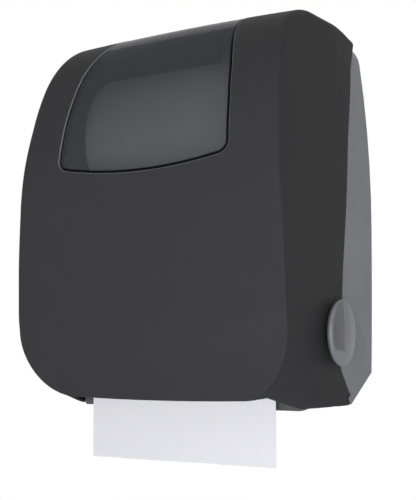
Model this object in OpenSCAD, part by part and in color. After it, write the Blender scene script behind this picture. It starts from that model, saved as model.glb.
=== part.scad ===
// Wall-mounted roll towel dispenser with a pull-operated cutting drum. Lengths in millimetres.
// Heights in the modules are counted from the underside of the casing; +X is the viewer's right,
// -Y is the front and the wall is the plane Y = 0.

/* [Casing] */
// Width over the sides at the wall
body_w = 281; // [270:1:300]
// Height of the casing at its sides
body_h = 378; // [370:1:396]
// Depth from the wall to the middle of the front face
body_d = 222; // [214:1:236]
// Bulge of the front, top and lip at the middle
crown = 6; // [3:0.5:9]
// Wall thickness of the cover and housing
wall = 2.6; // [2:0.1:3.4]
// Radius of the crease between front and sides
crease_r = 5; // [4:0.5:9]
// Radius of the top shoulders of the cover
shoulder_r = 7; // [6:0.5:12]
// Radius of the top corners of the housing at the wall
rear_r = 26; // [22:1:36]
// Radius of the lower front corners
lip_corner_r = 62.5; // [54:0.5:68]
// Distance below the top at which the front starts to lean back
lean_drop = 121; // [118:1:125]
// Distance of the brow corner below the top
brow_drop = 15; // [13:0.5:17]
// Depth of the brow corner
brow_y = 171; // [169:1:174]
// Height of the ends of the lip
lip_z = 9; // [6:0.5:10]
// Depth of the lip
lip_y = 195; // [190:1:202]
// Gap between cover and housing along the seam
seam_gap = 0.8; // [0.5:0.1:1.4]

/* [Window] */
// Half width of the window near its lower edge
window_hw = 90.5; // [84:0.5:96]
// Height of the lower edge at the middle
window_z = 211.5; // [204:0.5:218]
// Depth at which the window ends on the top
window_top_y = 92; // [80:1:110]
// Radius of the lower corners
window_r = 11; // [6:1:13]
// Gap round the window
window_gap = 0.4; // [0.3:0.1:0.8]
// Thickness of the window sheet
window_t = 2; // [1.6:0.1:2.4]

/* [Hinge and lock] */
// Depth of the cover hinge axis
hinge_y = 66; // [62:1:70]
// Height of the cover hinge axis
hinge_z = 6.4; // [6:0.1:8]
// Radius of the hinge pins
hinge_pin_r = 2.5; // [2:0.1:3]
// Radius of the lock barrel
lock_r = 7; // [6:0.5:8.5]
// Depth of the lock axis
lock_y = 46; // [40:1:52]

/* [Wall fixing] */
// Spacing of the wall holes across
fix_w = 180; // [160:1:196]
// Spacing of the wall holes in height
fix_h = 120; // [110:1:130]
// Height of the middle of the wall holes
fix_z = 250; // [245:1:255]
// Radius of the wall holes
fix_r = 2.75; // [2.25:0.05:3.25]

/* [Roll] */
// Width of the towel
towel_w = 200; // [196:1:204]
// Outer radius of the roll
roll_r = 74; // [60:1:76]
// Depth of the roll axis
roll_y = 91; // [88:1:95]
// Distance of the roll axis below the top of the casing
roll_drop = 114; // [110:1:118]
// Inner radius of the card core
core_r = 19.1; // [18.5:0.1:20]
// Wall of the card core
core_t = 1.4; // [1:0.1:2]
// Thickness drawn for the towel
paper_t = 0.4; // [0.3:0.05:0.6]
// Length of the leaf under the casing
leaf_l = 53; // [30:1:90]

/* [Drum] */
// Radius of the drum
drum_r = 38; // [36:0.5:39]
// Height of the rubber bands
band_t = 1; // [0.6:0.1:1.4]
// Depth of the drum axis
drum_y = 107; // [105:1:110]
// Height of the drum axis
drum_z = 68; // [66:1:71]
// Radius of the drum shaft
shaft_r = 5; // [4:0.25:5.5]
// Radial clearance of turning fits
run_gap = 0.05; // [0.02:0.01:0.09]
// Clearance between the towel and the rollers
paper_gap = 0.3; // [0.3:0.05:0.5]

/* [Knife] */
// Angle of the knife slot at rest, from the rear upward
knife_angle = 85; // [75:1:95]
// Travel of the knife
knife_travel = 12; // [9:0.5:12.5]
// Thickness of the blade
blade_t = 1.2; // [0.8:0.1:1.6]
// Pitch of the blade teeth
tooth = 4; // [3:0.5:6]
// Radius of the cam follower rollers
follower_r = 4; // [3.4:0.1:4.4]

/* [Pinch roller] */
// Radius of the pinch roller
pinch_r = 11; // [9:0.5:12]
// Angle of the pinch roller round the drum, from the rear upward
pinch_angle = 45; // [40:1:50]
// Radius of the pinch roller shaft
pinch_shaft_r = 3; // [2.5:0.1:3.5]

/* [Hand knob] */
// Radius of the knob
knob_r = 31.5; // [27:0.5:32]
// Thickness of the knob at its middle
knob_t = 7.6; // [7:0.2:10]

/* [Hidden] */
cover_black = [0.22, 0.22, 0.23];
shell_grey = [0.45, 0.46, 0.48];
frame_grey = [0.62, 0.63, 0.65];
steel = [0.75, 0.75, 0.77];
paper_white = [0.93, 0.93, 0.95];

// Casing profile in side view
front_y = body_d - crown;
lean_z = body_h - lean_drop;
brow_z = body_h - brow_drop;
roll_z = body_h - roll_drop;
fan_axis = [-80, 150];
waist_z = 180;
rear_z = 30;
floor_y = 58;
floor_t = 3;

// Axial stack of the drum unit, counted from the middle
drum_hl = towel_w / 2 + 1;
arm_x = drum_hl + 0.5;
cheek_x = drum_hl + 9;
cheek_t = 4;
plate_t = 3;
boss_y = 9;
knob_x = body_w / 2 + 4.5;
arm_pivot = [arm_x + 6.5, -15];

// Rolling radii
grip_r = drum_r + band_t;
web_r = grip_r + paper_gap + paper_t / 2;
pinch_c = grip_r + 2 * paper_gap + paper_t + pinch_r;
pinch_p = [-drum_y + pinch_c * cos(pinch_angle), drum_z + pinch_c * sin(pinch_angle)];
pivot_p = [-38, 84];
core_or = core_r + core_t;

// Rubber bands of the drum
band_w = 16;
band_step = (towel_w - 2 * band_w) / 4;

// Knife distances from the drum axis at rest
carrier_r0 = 12;
carrier_r1 = 18;
tip_r = drum_r - 0.6;
follower_c = 15;

function clamp01(v) = max(0, min(1, v));
function unit(v) = v / norm(v);

// Upper face of the sloping housing floor
function floor_top(y) = 0.4 + floor_t + (y + floor_y) * (rear_z - 0.4) / floor_y;

// Arc that rounds the corner q between p and s
function fillet(p, q, s, r, n) =
    let (a = unit(p - q), b = unit(s - q), h = acos(max(-1, min(1, a * b))) / 2,
         c = q + unit(a + b) * r / sin(h), u = q + a * r / tan(h) - c, v = q + b * r / tan(h) - c,
         a0 = atan2(u[1], u[0]), d = atan2(u[0] * v[1] - u[1] * v[0], u * v))
    [for (i = [0:n]) c + r * [cos(a0 + d * i / n), sin(a0 + d * i / n)]];

// Open path with rounded inner vertices; each vertex is [x, y, radius, steps]
function round_path(v) =
    [for (i = [0:len(v) - 1])
        let (q = [v[i][0], v[i][1]])
        each (i == 0 || i == len(v) - 1 || v[i][2] == 0) ? [q] :
            fillet([v[i - 1][0], v[i - 1][1]], q, [v[i + 1][0], v[i + 1][1]], v[i][2], v[i][3])];

// Closed outline with rounded vertices
function round_loop(v) =
    [for (i = [0:len(v) - 1])
        let (n = len(v), p = v[(i + n - 1) % n], q = v[i], s = v[(i + 1) % n])
        each q[2] == 0 ? [[q[0], q[1]]] : fillet([p[0], p[1]], [q[0], q[1]], [s[0], s[1]], q[2], q[3])];

// Path with no step longer than the limit
function dense(p, most) =
    concat([for (i = [0:len(p) - 2])
        let (k = max(1, ceil(norm(p[i + 1] - p[i]) / most)))
        each [for (j = [0:k - 1]) p[i] + (p[i + 1] - p[i]) * j / k]], [p[len(p) - 1]]);

// Outline round two circles
function capsule(p, q, rp, rq) =
    let (d = q - p, a = atan2(d[1], d[0]), o = acos((rp - rq) / norm(d)), n = 8)
    concat([for (i = [0:n]) let (t = a + o + (360 - 2 * o) * i / n) p + rp * [cos(t), sin(t)]],
           [for (i = [0:n]) let (t = a - o + 2 * o * i / n) q + rq * [cos(t), sin(t)]]);

// Half width of the casing at a depth and height
function depth_at(y) = clamp01((-y - hinge_y) / (front_y - hinge_y));
function corner_at(y) = lip_corner_r * pow(depth_at(y), 1.4);
function under_z(y) = lookup(-y, [[hinge_y, 0], [136, -0.8], [lip_y, lip_z]]);
function corner_drop(y, z) =
    let (r = corner_at(y), h = max(0, z - under_z(y)))
    h >= r ? 0 : r - sqrt(max(0, r * r - (r - h) * (r - h)));
function taper(z) =
    z > waist_z ? 16 * pow((z - waist_z) / (body_h - waist_z), 2)
                : 2 * pow((waist_z - z) / waist_z, 2);
function half_width(y, z) =
    body_w / 2 - taper(z) - corner_drop(y, z) - 6 * pow(clamp01((z - 129) / 136), 1.5) * depth_at(y);
function edge_r(z) =
    crease_r + (shoulder_r - crease_r) * 0.5 * (clamp01((z - 200) / 90) + clamp01((z - 290) / 40))
    + 6 * clamp01((z - body_h + 9) / 6);
function crown_at(z) = crown * (1 - 0.65 * clamp01((z - 250) / 110));

casing_path = round_path([
    [-50, 0.6, 0, 0],
    [-hinge_y, 0, 0, 0],
    [-136, -0.8, 0, 0],
    [-lip_y, lip_z, 4, 2],
    [-front_y, 54, 150, 2],
    [-front_y, lean_z, 257, 5],
    [-brow_y, brow_z, 105, 7],
    [-44, body_h, 160, 3],
    [0, body_h - 5, 0, 0]]);
casing_profile = concat(
    dense([for (p = casing_path) if (p[1] < 90) p], 15),
    dense([for (p = casing_path) if (p[1] > 90) p], 26));

// Side profile moved inward by a distance
function inset_profile(t) =
    let (p = casing_profile, n = len(p))
    [for (i = [0:n - 1])
        let (d = unit(p[min(n - 1, i + 1)] - p[max(0, i - 1)]))
        p[i] + t * [-d[1], d[0]] * -1];

// Cross-section of the casing in the plane through the fan axis and one profile point
function rib(q, z, t, sides, arcs) =
    let (r = max(1.5, edge_r(z) - t), len_r = norm(q - fan_axis), sc = 1 - r / len_r,
         d = unit(q - fan_axis),
         side = [for (s = sides)
             let (p = fan_axis + (q - fan_axis) * sc * s) [half_width(p[0], p[1]) - t, p]],
         arc = [for (i = [0:arcs])
             let (f = 90 * i / arcs, p = fan_axis + (q - fan_axis) * (sc + (1 - sc) * sin(f)))
             [half_width(p[0], p[1]) - t - r * (1 - cos(f)), p]],
         xf = arc[arcs][0],
         front = [for (f = [0.66, 0.33, 0]) [xf * f, q + d * crown_at(z) * (1 - f * f)]],
         half = concat(side, arc, front), n = len(half))
    concat([for (h = half) [h[0], h[1][0], h[1][1]]],
           [for (i = [n - 2:-1:0]) [-half[i][0], half[i][1][0], half[i][1][1]]]);

// Filled casing, moved inward by t
module casing_fill(t, sides, arcs) {
    p = inset_profile(t);
    ribs = [for (i = [0:len(p) - 1])
        rib(p[i], casing_profile[i][1], t, casing_profile[i][1] < 90 ? low_sides : sides, arcs)];
    for (i = [0:len(p) - 2])
        hull()
            polyhedron(concat(ribs[i], ribs[i + 1]),
                       [[for (j = [0:len(ribs[i]) + len(ribs[i + 1]) - 1]) j]]);
}

low_sides = [0, 0.5, 0.72, 0.84, 0.91, 0.96];
fine_sides = [0, 0.45, 0.7, 0.84, 0.93];
coarse_sides = [0, 0.55, 0.85];

// Seam between cover and housing, from the hinge to the top
seam = round_path([
    [-hinge_y + 4, hinge_z + 4, 0, 0],
    [-88, 36, 14, 4],
    [-83, 124, 260, 3],
    [-62, body_h - 124, 260, 3],
    [-30, body_h - 40, 50, 4],
    [-6, body_h - 6, 0, 0],
    [-6, body_h + 22, 0, 0]]);

module along_x(x0, x1)
    translate([x0, 0, 0])
        rotate([90, 0, 90])
            linear_extrude(x1 - x0)
                children();

module along_y(y0, y1)
    translate([0, y1, 0])
        rotate([90, 0, 0])
            linear_extrude(y1 - y0)
                children();

module rod_x(x0, x1, y, z, r, sides = 48)
    translate([x0, y, z])
        rotate([0, 90, 0])
            cylinder(h = x1 - x0, r = r, $fn = sides);

module rod_y(y0, y1, x, z, r, sides = 32)
    translate([x, y1, z])
        rotate([90, 0, 0])
            cylinder(h = y1 - y0, r = r, $fn = sides);

module mirrored() {
    children();
    mirror([1, 0, 0])
        children();
}

// Side view of the space in front of the seam
module cover_side() {
    polygon(concat([[-hinge_y + 4, -20], [-hinge_y + 4, hinge_z - 4]], seam,
                   [[-300, body_h + 42], [-300, -20]]));
    translate([-hinge_y, hinge_z])
        circle(hinge_z, $fn = 32);
}

// Side view of the space behind the seam
module housing_side() {
    difference() {
        polygon(concat([[0, rear_z], [-floor_y, 0.4]],
                       [for (p = seam) p + [seam_gap, 0]], [[0, body_h + 22]]));
        translate([-hinge_y, hinge_z])
            circle(hinge_z + seam_gap, $fn = 32);
    }
}

// Front view of the casing at the wall
function rear_outline(t) =
    let (r = rear_r - t, top = body_h - 4 - t,
         side = [for (i = [0:9]) let (z = (top - r) * i / 10) [half_width(0, z) - t, z]],
         corner = [for (i = [0:8])
             let (f = 90 * i / 8, z = top - r + r * sin(f))
             [half_width(0, z) - t - r * (1 - cos(f)), z]],
         right = concat(side, corner, [[45, top + 1.6]]), n = len(right))
    concat(right, [for (i = [n - 1:-1:0]) [-right[i][0], right[i][1]]]);

module rear_ring(t0, t1)
    difference() {
        polygon(rear_outline(t0));
        polygon(rear_outline(t1));
    }

module window_outline(grow) {
    offset(delta = grow)
        polygon(round_loop([
            [0, window_z - 7.5, 4.6 * window_hw, 8],
            [window_hw, window_z + 9.5, window_r, 5],
            [window_hw - 2.5, window_z + 54.5, 300, 2],
            [window_hw - 8, window_z + 100.5, 200, 3],
            [62, body_h + 7, 0, 0],
            [-62, body_h + 7, 0, 0],
            [-window_hw + 8, window_z + 100.5, 200, 3],
            [-window_hw + 2.5, window_z + 54.5, 300, 2],
            [-window_hw, window_z + 9.5, window_r, 5]]));
}

// Opening for the window, grown or shrunk all round
module window_prism(grow)
    intersection() {
        along_y(-260, -60)
            window_outline(grow);
        translate([0, 0, 150])
            linear_extrude(300)
                polygon(round_loop([
                    [-150, -260, 0, 0],
                    [150, -260, 0, 0],
                    [110, -window_top_y - 70 + grow, 0, 0],
                    [63 + grow, -window_top_y + grow, 12, 5],
                    [-63 - grow, -window_top_y + grow, 12, 5],
                    [-110, -window_top_y - 70 + grow, 0, 0]]));
    }

// Way that the knob shaft takes through the cover side as the cover swings
module shaft_way() {
    arm = [-drum_y, drum_z] - [-hinge_y, hinge_z];
    for (a = [0:-6:-36])
        translate([-hinge_y + arm[0] * cos(a) - arm[1] * sin(a),
                   hinge_z + arm[0] * sin(a) + arm[1] * cos(a)])
            circle(shaft_r + 4, $fn = 24);
}

module front_cover()
    color(cover_black)
        difference() {
            intersection() {
                difference() {
                    casing_fill(0, fine_sides, 4);
                    casing_fill(wall, coarse_sides, 2);
                }
                along_x(-200, 200)
                    cover_side();
            }
            window_prism(0);
            translate([0, 0, -20])
                linear_extrude(34)
                    polygon([[-100, -lip_y + 7], [100, -lip_y + 7], [118, -135],
                             [135, -92], [135, -30], [-135, -30], [-135, -92], [-118, -135]]);
            along_x(100, 200)
                shaft_way();
            rod_x(-200, 200, -hinge_y, hinge_z, hinge_pin_r + 0.1, 24);
            translate([0, -lock_y, body_h - 30])
                cylinder(h = 60, r = lock_r + 0.3, $fn = 32);
        }

module window()
    color([0.25, 0.27, 0.29])
        union() {
            intersection() {
                difference() {
                    casing_fill(0.3, fine_sides, 4);
                    casing_fill(wall + 0.2 + window_t, coarse_sides, 2);
                }
                window_prism(-window_gap);
            }
            intersection() {
                difference() {
                    casing_fill(wall + 0.5, coarse_sides, 2);
                    casing_fill(wall + 0.2 + window_t, coarse_sides, 2);
                }
                window_prism(6);
            }
        }

module screw_boss(x, z) {
    rod_y(-boss_y, -plate_t + 0.5, x, z, 5);
}

flange_w = 20;
boss_points = [for (s = [-1, 1]) each [
    [s * (cheek_x - 10), 62],
    [s * (cheek_x - 10), 122]]];
arm_points = [for (z = [-1, 1]) [-(arm_x - 1.5), roll_z + 17 * z]];

module back_housing()
    color(shell_grey)
        difference() {
            union() {
                intersection() {
                    along_y(-100, 0)
                        rear_ring(0, wall);
                    along_x(-200, 200)
                        housing_side();
                }
                along_y(-plate_t, 0)
                    intersection() {
                        polygon(rear_outline(0.2));
                        translate([-200, rear_z])
                            square([400, 400]);
                    }
                along_x(-body_w / 2 + 4.5, body_w / 2 - 4.5)
                    polygon([[0, rear_z], [-floor_y, 0.4],
                             [-floor_y, floor_top(-floor_y)], [0, floor_top(0)]]);
                mirrored()
                    along_x(body_w / 2 - 14, body_w / 2 - 7)
                        polygon(round_loop([
                            [-hinge_y - 6, hinge_z - 5.6, 5, 4],
                            [-hinge_y - 6, hinge_z + 7, 5, 4],
                            [-40, hinge_z + 24, 0, 0],
                            [-40, 14, 0, 0],
                            [-floor_y + 2, hinge_z - 5.6, 0, 0]]));
                for (p = concat(boss_points, arm_points))
                    screw_boss(p[0], p[1]);
                for (x = [-1, 1])
                    for (z = [-1, 1])
                        rod_y(-6, -plate_t + 0.5, x * fix_w / 2, fix_z + z * fix_h / 2, 8);
                for (z = [roll_z - 30, roll_z + 22.4])
                    translate([0, 0, z])
                        linear_extrude(7.6)
                            polygon(round_loop([
                                [arm_pivot[0] - 9, -plate_t + 0.5, 0, 0],
                                [arm_pivot[0] - 6, arm_pivot[1] - 6, 5, 4],
                                [arm_pivot[0] + 6, arm_pivot[1] - 6, 5, 4],
                                [arm_pivot[0] + 9, -plate_t + 0.5, 0, 0]]));
            }
            for (x = [-1, 1])
                for (z = [-1, 1])
                    rod_y(-20, 5, x * fix_w / 2, fix_z + z * fix_h / 2, fix_r);
            for (p = concat(boss_points, arm_points))
                rod_y(-20, -1.4, p[0], p[1], 1.95);
            rod_x(-200, 200, -hinge_y, hinge_z, hinge_pin_r + run_gap);
            translate([arm_pivot[0], arm_pivot[1], roll_z - 40])
                cylinder(h = 80, r = 2.5 + run_gap, $fn = 32);
        }

module hinge_pins()
    color(steel)
        mirrored()
            rod_x(body_w / 2 - 15, body_w / 2 - 0.4, -hinge_y, hinge_z, hinge_pin_r);

module lock_barrel()
    color(steel)
        translate([0, -lock_y, body_h - 26])
            difference() {
                cylinder(h = 30, r = lock_r, $fn = 48);
                translate([-0.8, -4, 27])
                    cube([1.6, 8, 10]);
                translate([0, 0, -1])
                    cylinder(h = 9, r = 1.6, $fn = 24);
            }

module lock_cam()
    color(steel)
        translate([0, -lock_y, body_h - 29])
            difference() {
                linear_extrude(3)
                    polygon(capsule([0, 0], [0, 19], 7, 4));
                translate([0, 0, -1])
                    cylinder(h = 9, r = 1.6, $fn = 24);
            }

module latch_hook()
    color(frame_grey)
        along_x(11, 23)
            polygon(round_loop([
                [-plate_t, body_h - 60, 0, 0],
                [-30, body_h - 37, 8, 4],
                [-lock_y - 14, body_h - 37, 3, 4],
                [-lock_y - 14, body_h - 23, 2, 4],
                [-lock_y - 9.5, body_h - 23, 2, 4],
                [-lock_y - 9.5, body_h - 33, 2, 4],
                [-26, body_h - 33, 8, 4],
                [-plate_t, body_h - 40, 0, 0]]));

// Side view of a roll arm
module arm_side(y0) {
    difference() {
        union() {
            polygon(capsule([-46, roll_z], [-roll_y, roll_z], 26, 17));
            translate([-46, roll_z - 26])
                square([46 + y0, 52]);
        }
        polygon(capsule([-40, roll_z], [-roll_y + 31, roll_z], 15, 10));
    }
}

module left_roll_arm()
    color(frame_grey)
        difference() {
            union() {
                along_x(-arm_x - 8.5, -arm_x - 4.5)
                    arm_side(-boss_y);
                translate([-arm_x - 8.5, -boss_y - 3.2, roll_z - 26])
                    cube([flange_w, 3.2, 52]);
            }
            rod_x(-200, 0, -roll_y, roll_z, 6.05);
            for (p = arm_points)
                rod_y(-20, 0, p[0], p[1], 2.2);
        }

module right_roll_arm()
    color(frame_grey)
        difference() {
            union() {
                along_x(arm_x + 4.5, arm_x + 8.5)
                    arm_side(-24);
                for (z = [roll_z - 22, roll_z + 10])
                    translate([arm_pivot[0], arm_pivot[1], z])
                        linear_extrude(12)
                            polygon(capsule([0, 0], [0, -14], 5.6, 4));
            }
            rod_x(0, 200, -roll_y, roll_z, 6.05);
            translate([arm_pivot[0], arm_pivot[1], roll_z - 40])
                cylinder(h = 80, r = 2.5 + run_gap, $fn = 32);
            translate([arm_pivot[0], arm_pivot[1], roll_z - 10])
                cylinder(h = 20, r = coil_r + 2, $fn = 48);
        }

// Tapered plug that carries one end of the card core
module core_hub()
    translate([arm_x + 8.5, -roll_y, roll_z])
        rotate([0, -90, 0])
            rotate_extrude($fn = 64)
                polygon([[0, 0], [6, 0], [6, 4.2], [24, 4.2], [24, 7.2], [core_r - 0.5, 7.2],
                         [core_r - 0.9, 13], [core_r - 3.6, 19.5], [11, 19.5], [11, 8], [0, 8]]);

module left_core_hub()
    color([0.3, 0.45, 0.6])
        mirror([1, 0, 0])
            core_hub();

module right_core_hub()
    color([0.3, 0.45, 0.6])
        core_hub();

module arm_pivot_pin()
    color(steel)
        translate([arm_pivot[0], arm_pivot[1], roll_z - 31])
            union() {
                cylinder(h = 62, r = 2.5, $fn = 48);
                translate([0, 0, 62])
                    cylinder(h = 1.6, r = 4.2, $fn = 48);
            }

// Tube of round section along a path
function sweep_points(path, r, sides, ref) =
    let (n = len(path))
    [for (i = [0:n - 1])
        let (t = unit(path[min(n - 1, i + 1)] - path[max(0, i - 1)]),
             u = unit(cross(t, ref)), v = cross(u, t))
        each [for (k = [0:sides - 1])
            path[i] + r * (u * cos(360 * k / sides) + v * sin(360 * k / sides))]];

module sweep(path, r, sides, ref) {
    n = len(path);
    polyhedron(sweep_points(path, r, sides, ref), concat(
        [[for (k = [0:sides - 1]) k]],
        [for (i = [0:n - 2], k = [0:sides - 1])
            let (a = i * sides + k, b = i * sides + (k + 1) % sides)
            each [[a, a + sides, b], [b, a + sides, b + sides]]],
        [[for (k = [sides - 1:-1:0]) (n - 1) * sides + k]]));
}

// Coil about the Z axis with a straight leg at each end
function coil_path(r, pitch, turns, leg) =
    let (n = round(turns * 12), m = 360 * turns)
    concat([[r, -leg, 0], [r, -leg / 2, 0]],
           [for (i = [0:n]) [r * cos(m * i / n), r * sin(m * i / n), pitch * turns * i / n]],
           [for (f = [0.5, 1])
               [r * cos(m) - leg * f * sin(m), r * sin(m) + leg * f * cos(m), pitch * turns]]);

// Least clear distance between parts of a coil more than half a turn apart
function least_gap(path, r) =
    min([for (i = [0:len(path) - 8], j = [i + 7:len(path) - 1]) norm(path[i] - path[j])]) - 2 * r;

coil_wire_r = 0.7;
coil_r = 5.2;
arm_coil = coil_path(coil_r, 2.2, 5, 12);
pinch_coil = coil_path(3.6, 2.2, 4.25, 9);
echo(arm_spring_gap = least_gap(arm_coil, coil_wire_r));
echo(pinch_spring_gap = least_gap(pinch_coil, coil_wire_r));

module arm_spring()
    color(steel)
        translate([arm_pivot[0], arm_pivot[1], roll_z - 5.5])
            mirror([0, 1, 0])
                sweep(arm_coil, coil_wire_r, 6, [0, 0, 1]);

module pinch_springs()
    color(steel)
        mirrored()
            translate([arm_x - 17.5, pivot_p[0], pivot_p[1]])
                rotate([0, 90, 0])
                    sweep(pinch_coil, coil_wire_r, 6, [0, 0, 1]);

module towel_core()
    color([0.7, 0.6, 0.45])
        difference() {
            rod_x(-towel_w / 2, towel_w / 2, -roll_y, roll_z, core_or, 72);
            rod_x(-towel_w, towel_w, -roll_y, roll_z, core_r, 72);
        }

module towel_roll()
    color(paper_white)
        difference() {
            rod_x(-towel_w / 2, towel_w / 2, -roll_y, roll_z, roll_r, 96);
            rod_x(-towel_w, towel_w, -roll_y, roll_z, core_or, 72);
        }

// Towel path in side view: off the back of the roll, round the pinch roller, over the drum and down
pinch_web_r = pinch_r + paper_gap + paper_t / 2;
roll_web_r = roll_r + 0.6 + paper_t / 2;
web_d = [-roll_y, roll_z] - pinch_p;
web_a = atan2(web_d[1], web_d[0]) - acos((pinch_web_r - roll_web_r) / norm(web_d));
web_path = concat(
    [[-roll_y, roll_z] + roll_web_r * [cos(web_a), sin(web_a)]],
    [for (i = [0:12])
        let (a = web_a + (pinch_angle - 180 - web_a) * i / 12)
        pinch_p + pinch_web_r * [cos(a), sin(a)]],
    [for (i = [1:20])
        let (a = pinch_angle + (180 - pinch_angle) * i / 20)
        [-drum_y, drum_z] + web_r * [cos(a), sin(a)]],
    [[-drum_y - web_r, -leaf_l]]);

function side_of(path, t) =
    let (n = len(path))
    [for (i = [0:n - 1])
        let (a = unit(path[max(1, i)] - path[max(0, i - 1)]),
             b = unit(path[min(n - 1, i + 1)] - path[min(n - 2, i)]), m = unit(a + b))
        path[i] + t * [-m[1], m[0]] / max(0.6, m * a)];

module towel_web()
    color(paper_white)
        along_x(-towel_w / 2, towel_w / 2)
            polygon(concat(side_of(web_path, paper_t / 2),
                           [for (i = [len(web_path) - 1:-1:0]) side_of(web_path, -paper_t / 2)[i]]));

// Side frame of the drum unit, on the right
module cheek()
    difference() {
        union() {
            along_x(cheek_x, cheek_x + cheek_t)
                polygon(round_loop([
                    [-plate_t - 0.2, 48, 0, 0],
                    [-52, 16, 6, 3],
                    [-130, 16, 16, 5],
                    [-143, 44, 16, 4],
                    [-143, 92, 20, 5],
                    [-104, 132, 24, 5],
                    [-44, 132, 10, 4],
                    [-plate_t - 0.2, 142, 0, 0]]));
            translate([cheek_x + cheek_t - flange_w, -boss_y - 3.2, 52])
                cube([flange_w, 3.2, 82]);
            rod_x(cheek_x - 3, cheek_x + 1, pivot_p[0], pivot_p[1], 6);
        }
        rod_x(cheek_x - 10, cheek_x + 10, -drum_y, drum_z, 9);
        rod_x(cheek_x - 10, cheek_x + 10, pivot_p[0], pivot_p[1], 2.55);
        for (z = [62, 122])
            rod_y(-20, 0, cheek_x - 10, z, 2.2);
        for (p = tray_points)
            rod_x(cheek_x + 0.5, cheek_x + 10, p[0], p[1], 1.8, 32);
        along_x(cheek_x - 10, cheek_x + 10)
            polygon(capsule([-34, 112], [-62, 112], 9, 9));
    }

module right_cheek()
    color(frame_grey)
        cheek();

module left_cheek()
    color(frame_grey)
        mirror([1, 0, 0])
            cheek();

module at_drum()
    translate([0, -drum_y, drum_z])
        children();

// Part of the drum unit drawn with its slot along the Y axis, turned to the slot angle
module at_knife()
    at_drum()
        rotate([knife_angle, 0, 0])
            children();

module drum()
    color([0.35, 0.36, 0.38])
        at_knife()
            difference() {
                rod_x(-drum_hl, drum_hl, 0, 0, drum_r, 96);
                rod_x(-drum_hl + 3, drum_hl - 3, 0, 0, drum_r - 3, 96);
                translate([-drum_hl + 3, 20, -(blade_t / 2 + 0.6)])
                    cube([2 * drum_hl - 6, 30, blade_t + 1.2]);
                mirrored()
                    translate([drum_hl - 4, carrier_r0 - 0.8, -3.6])
                        cube([10, carrier_r1 + knife_travel + 0.8 - carrier_r0 + 0.8, 7.2]);
                rod_x(-drum_hl - 5, drum_hl + 5, 0, 0, shaft_r + run_gap);
            }

module drum_bands()
    color([0.12, 0.12, 0.12])
        at_knife()
            difference() {
                for (i = [-2:2])
                    rod_x(i * band_step - band_w / 2, i * band_step + band_w / 2, 0, 0, grip_r, 96);
                rod_x(-drum_hl, drum_hl, 0, 0, drum_r, 96);
                translate([-drum_hl, 0, -(blade_t / 2 + 1.4)])
                    cube([2 * drum_hl, 60, blade_t + 2.8]);
            }

module drum_shaft()
    color(steel)
        difference() {
            rod_x(-cheek_x - 9, knob_x + 1, -drum_y, drum_z, shaft_r);
            translate([knob_x - 5, -drum_y, drum_z - 20])
                cylinder(h = 40, r = 1.52, $fn = 32);
        }

module bush()
    difference() {
        union() {
            rod_x(cheek_x - 0.2, cheek_x + cheek_t + 2, -drum_y, drum_z, 8.95);
            rod_x(cheek_x + cheek_t + 0.2, cheek_x + cheek_t + 2, -drum_y, drum_z, 11.5);
        }
        rod_x(cheek_x - 10, cheek_x + 20, -drum_y, drum_z, shaft_r + run_gap);
    }

module drum_bushes()
    color([0.85, 0.82, 0.7])
        mirrored()
            bush();

module knife_carrier()
    color([0.8, 0.3, 0.2])
        at_knife()
            difference() {
                union() {
                    translate([-arm_x - 2.8, carrier_r0, -3])
                        cube([2 * arm_x + 5.6, carrier_r1 - carrier_r0, 6]);
                    mirrored()
                        rod_x(arm_x + 2, cheek_x - 0.8, follower_c, 0, 2);
                }
                translate([-drum_hl + 3.4, carrier_r0 + 3, -blade_t / 2 - 0.02])
                    cube([2 * drum_hl - 6.8, 10, blade_t + 0.04]);
            }

blade_hl = floor((drum_hl - 4) / tooth) * tooth;

module knife_blade()
    color(steel)
        at_knife()
            translate([0, 0, -blade_t / 2])
                linear_extrude(blade_t)
                    polygon(concat(
                        [[blade_hl, carrier_r0 + 3.2], [-blade_hl, carrier_r0 + 3.2]],
                        [for (x = [-blade_hl:tooth:blade_hl - tooth])
                            each [[x, tip_r - 3], [x + tooth / 2, tip_r]]],
                        [[blade_hl, tip_r - 3]]));

module cam_followers()
    color([0.85, 0.82, 0.7])
        at_knife()
            mirrored()
                difference() {
                    rod_x(arm_x + 3.4, cheek_x - 1, follower_c, 0, follower_r);
                    rod_x(arm_x, cheek_x + 2, follower_c, 0, 2 + run_gap);
                }

cam_hold_r = follower_c + follower_r + 0.4;
cam_free_r = cam_hold_r + knife_travel;

// Ring cam: a round track with a pocket where the knife comes out
module cam()
    at_drum()
        along_x(arm_x + 3.1, cheek_x)
            difference() {
                circle(cam_free_r + 4, $fn = 96);
                circle(cam_hold_r, $fn = 96);
                polygon(concat([[0, 0]],
                    [for (i = [0:16])
                        let (a = knife_angle - 22 + (90 + 44) * i / 16, e = min(i, 16 - i))
                        (cam_hold_r + knife_travel * min(1, e / 1)) * [cos(a), sin(a)]]));
            }

module right_cam()
    color(frame_grey)
        cam();

module left_cam()
    color(frame_grey)
        mirror([1, 0, 0])
            cam();

module pinch_roller()
    color([0.12, 0.12, 0.12])
        difference() {
            rod_x(-towel_w / 2, towel_w / 2, pinch_p[0], pinch_p[1], pinch_r, 64);
            rod_x(-towel_w, towel_w, pinch_p[0], pinch_p[1], pinch_shaft_r + run_gap);
        }

module pinch_shaft()
    color(steel)
        rod_x(-arm_x - 3, arm_x + 3, pinch_p[0], pinch_p[1], pinch_shaft_r);

module pinch_frame()
    color(frame_grey)
        difference() {
            union() {
                mirrored()
                    along_x(arm_x - 0.1, arm_x + 3.1)
                        polygon(capsule(pivot_p, pinch_p, 7, 6.5));
                rod_x(-arm_x, arm_x, -54, 82, 4);
            }
            rod_x(-200, 200, pivot_p[0], pivot_p[1], 2.5 + run_gap);
            rod_x(-200, 200, pinch_p[0], pinch_p[1], pinch_shaft_r + 0.02);
        }

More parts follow.
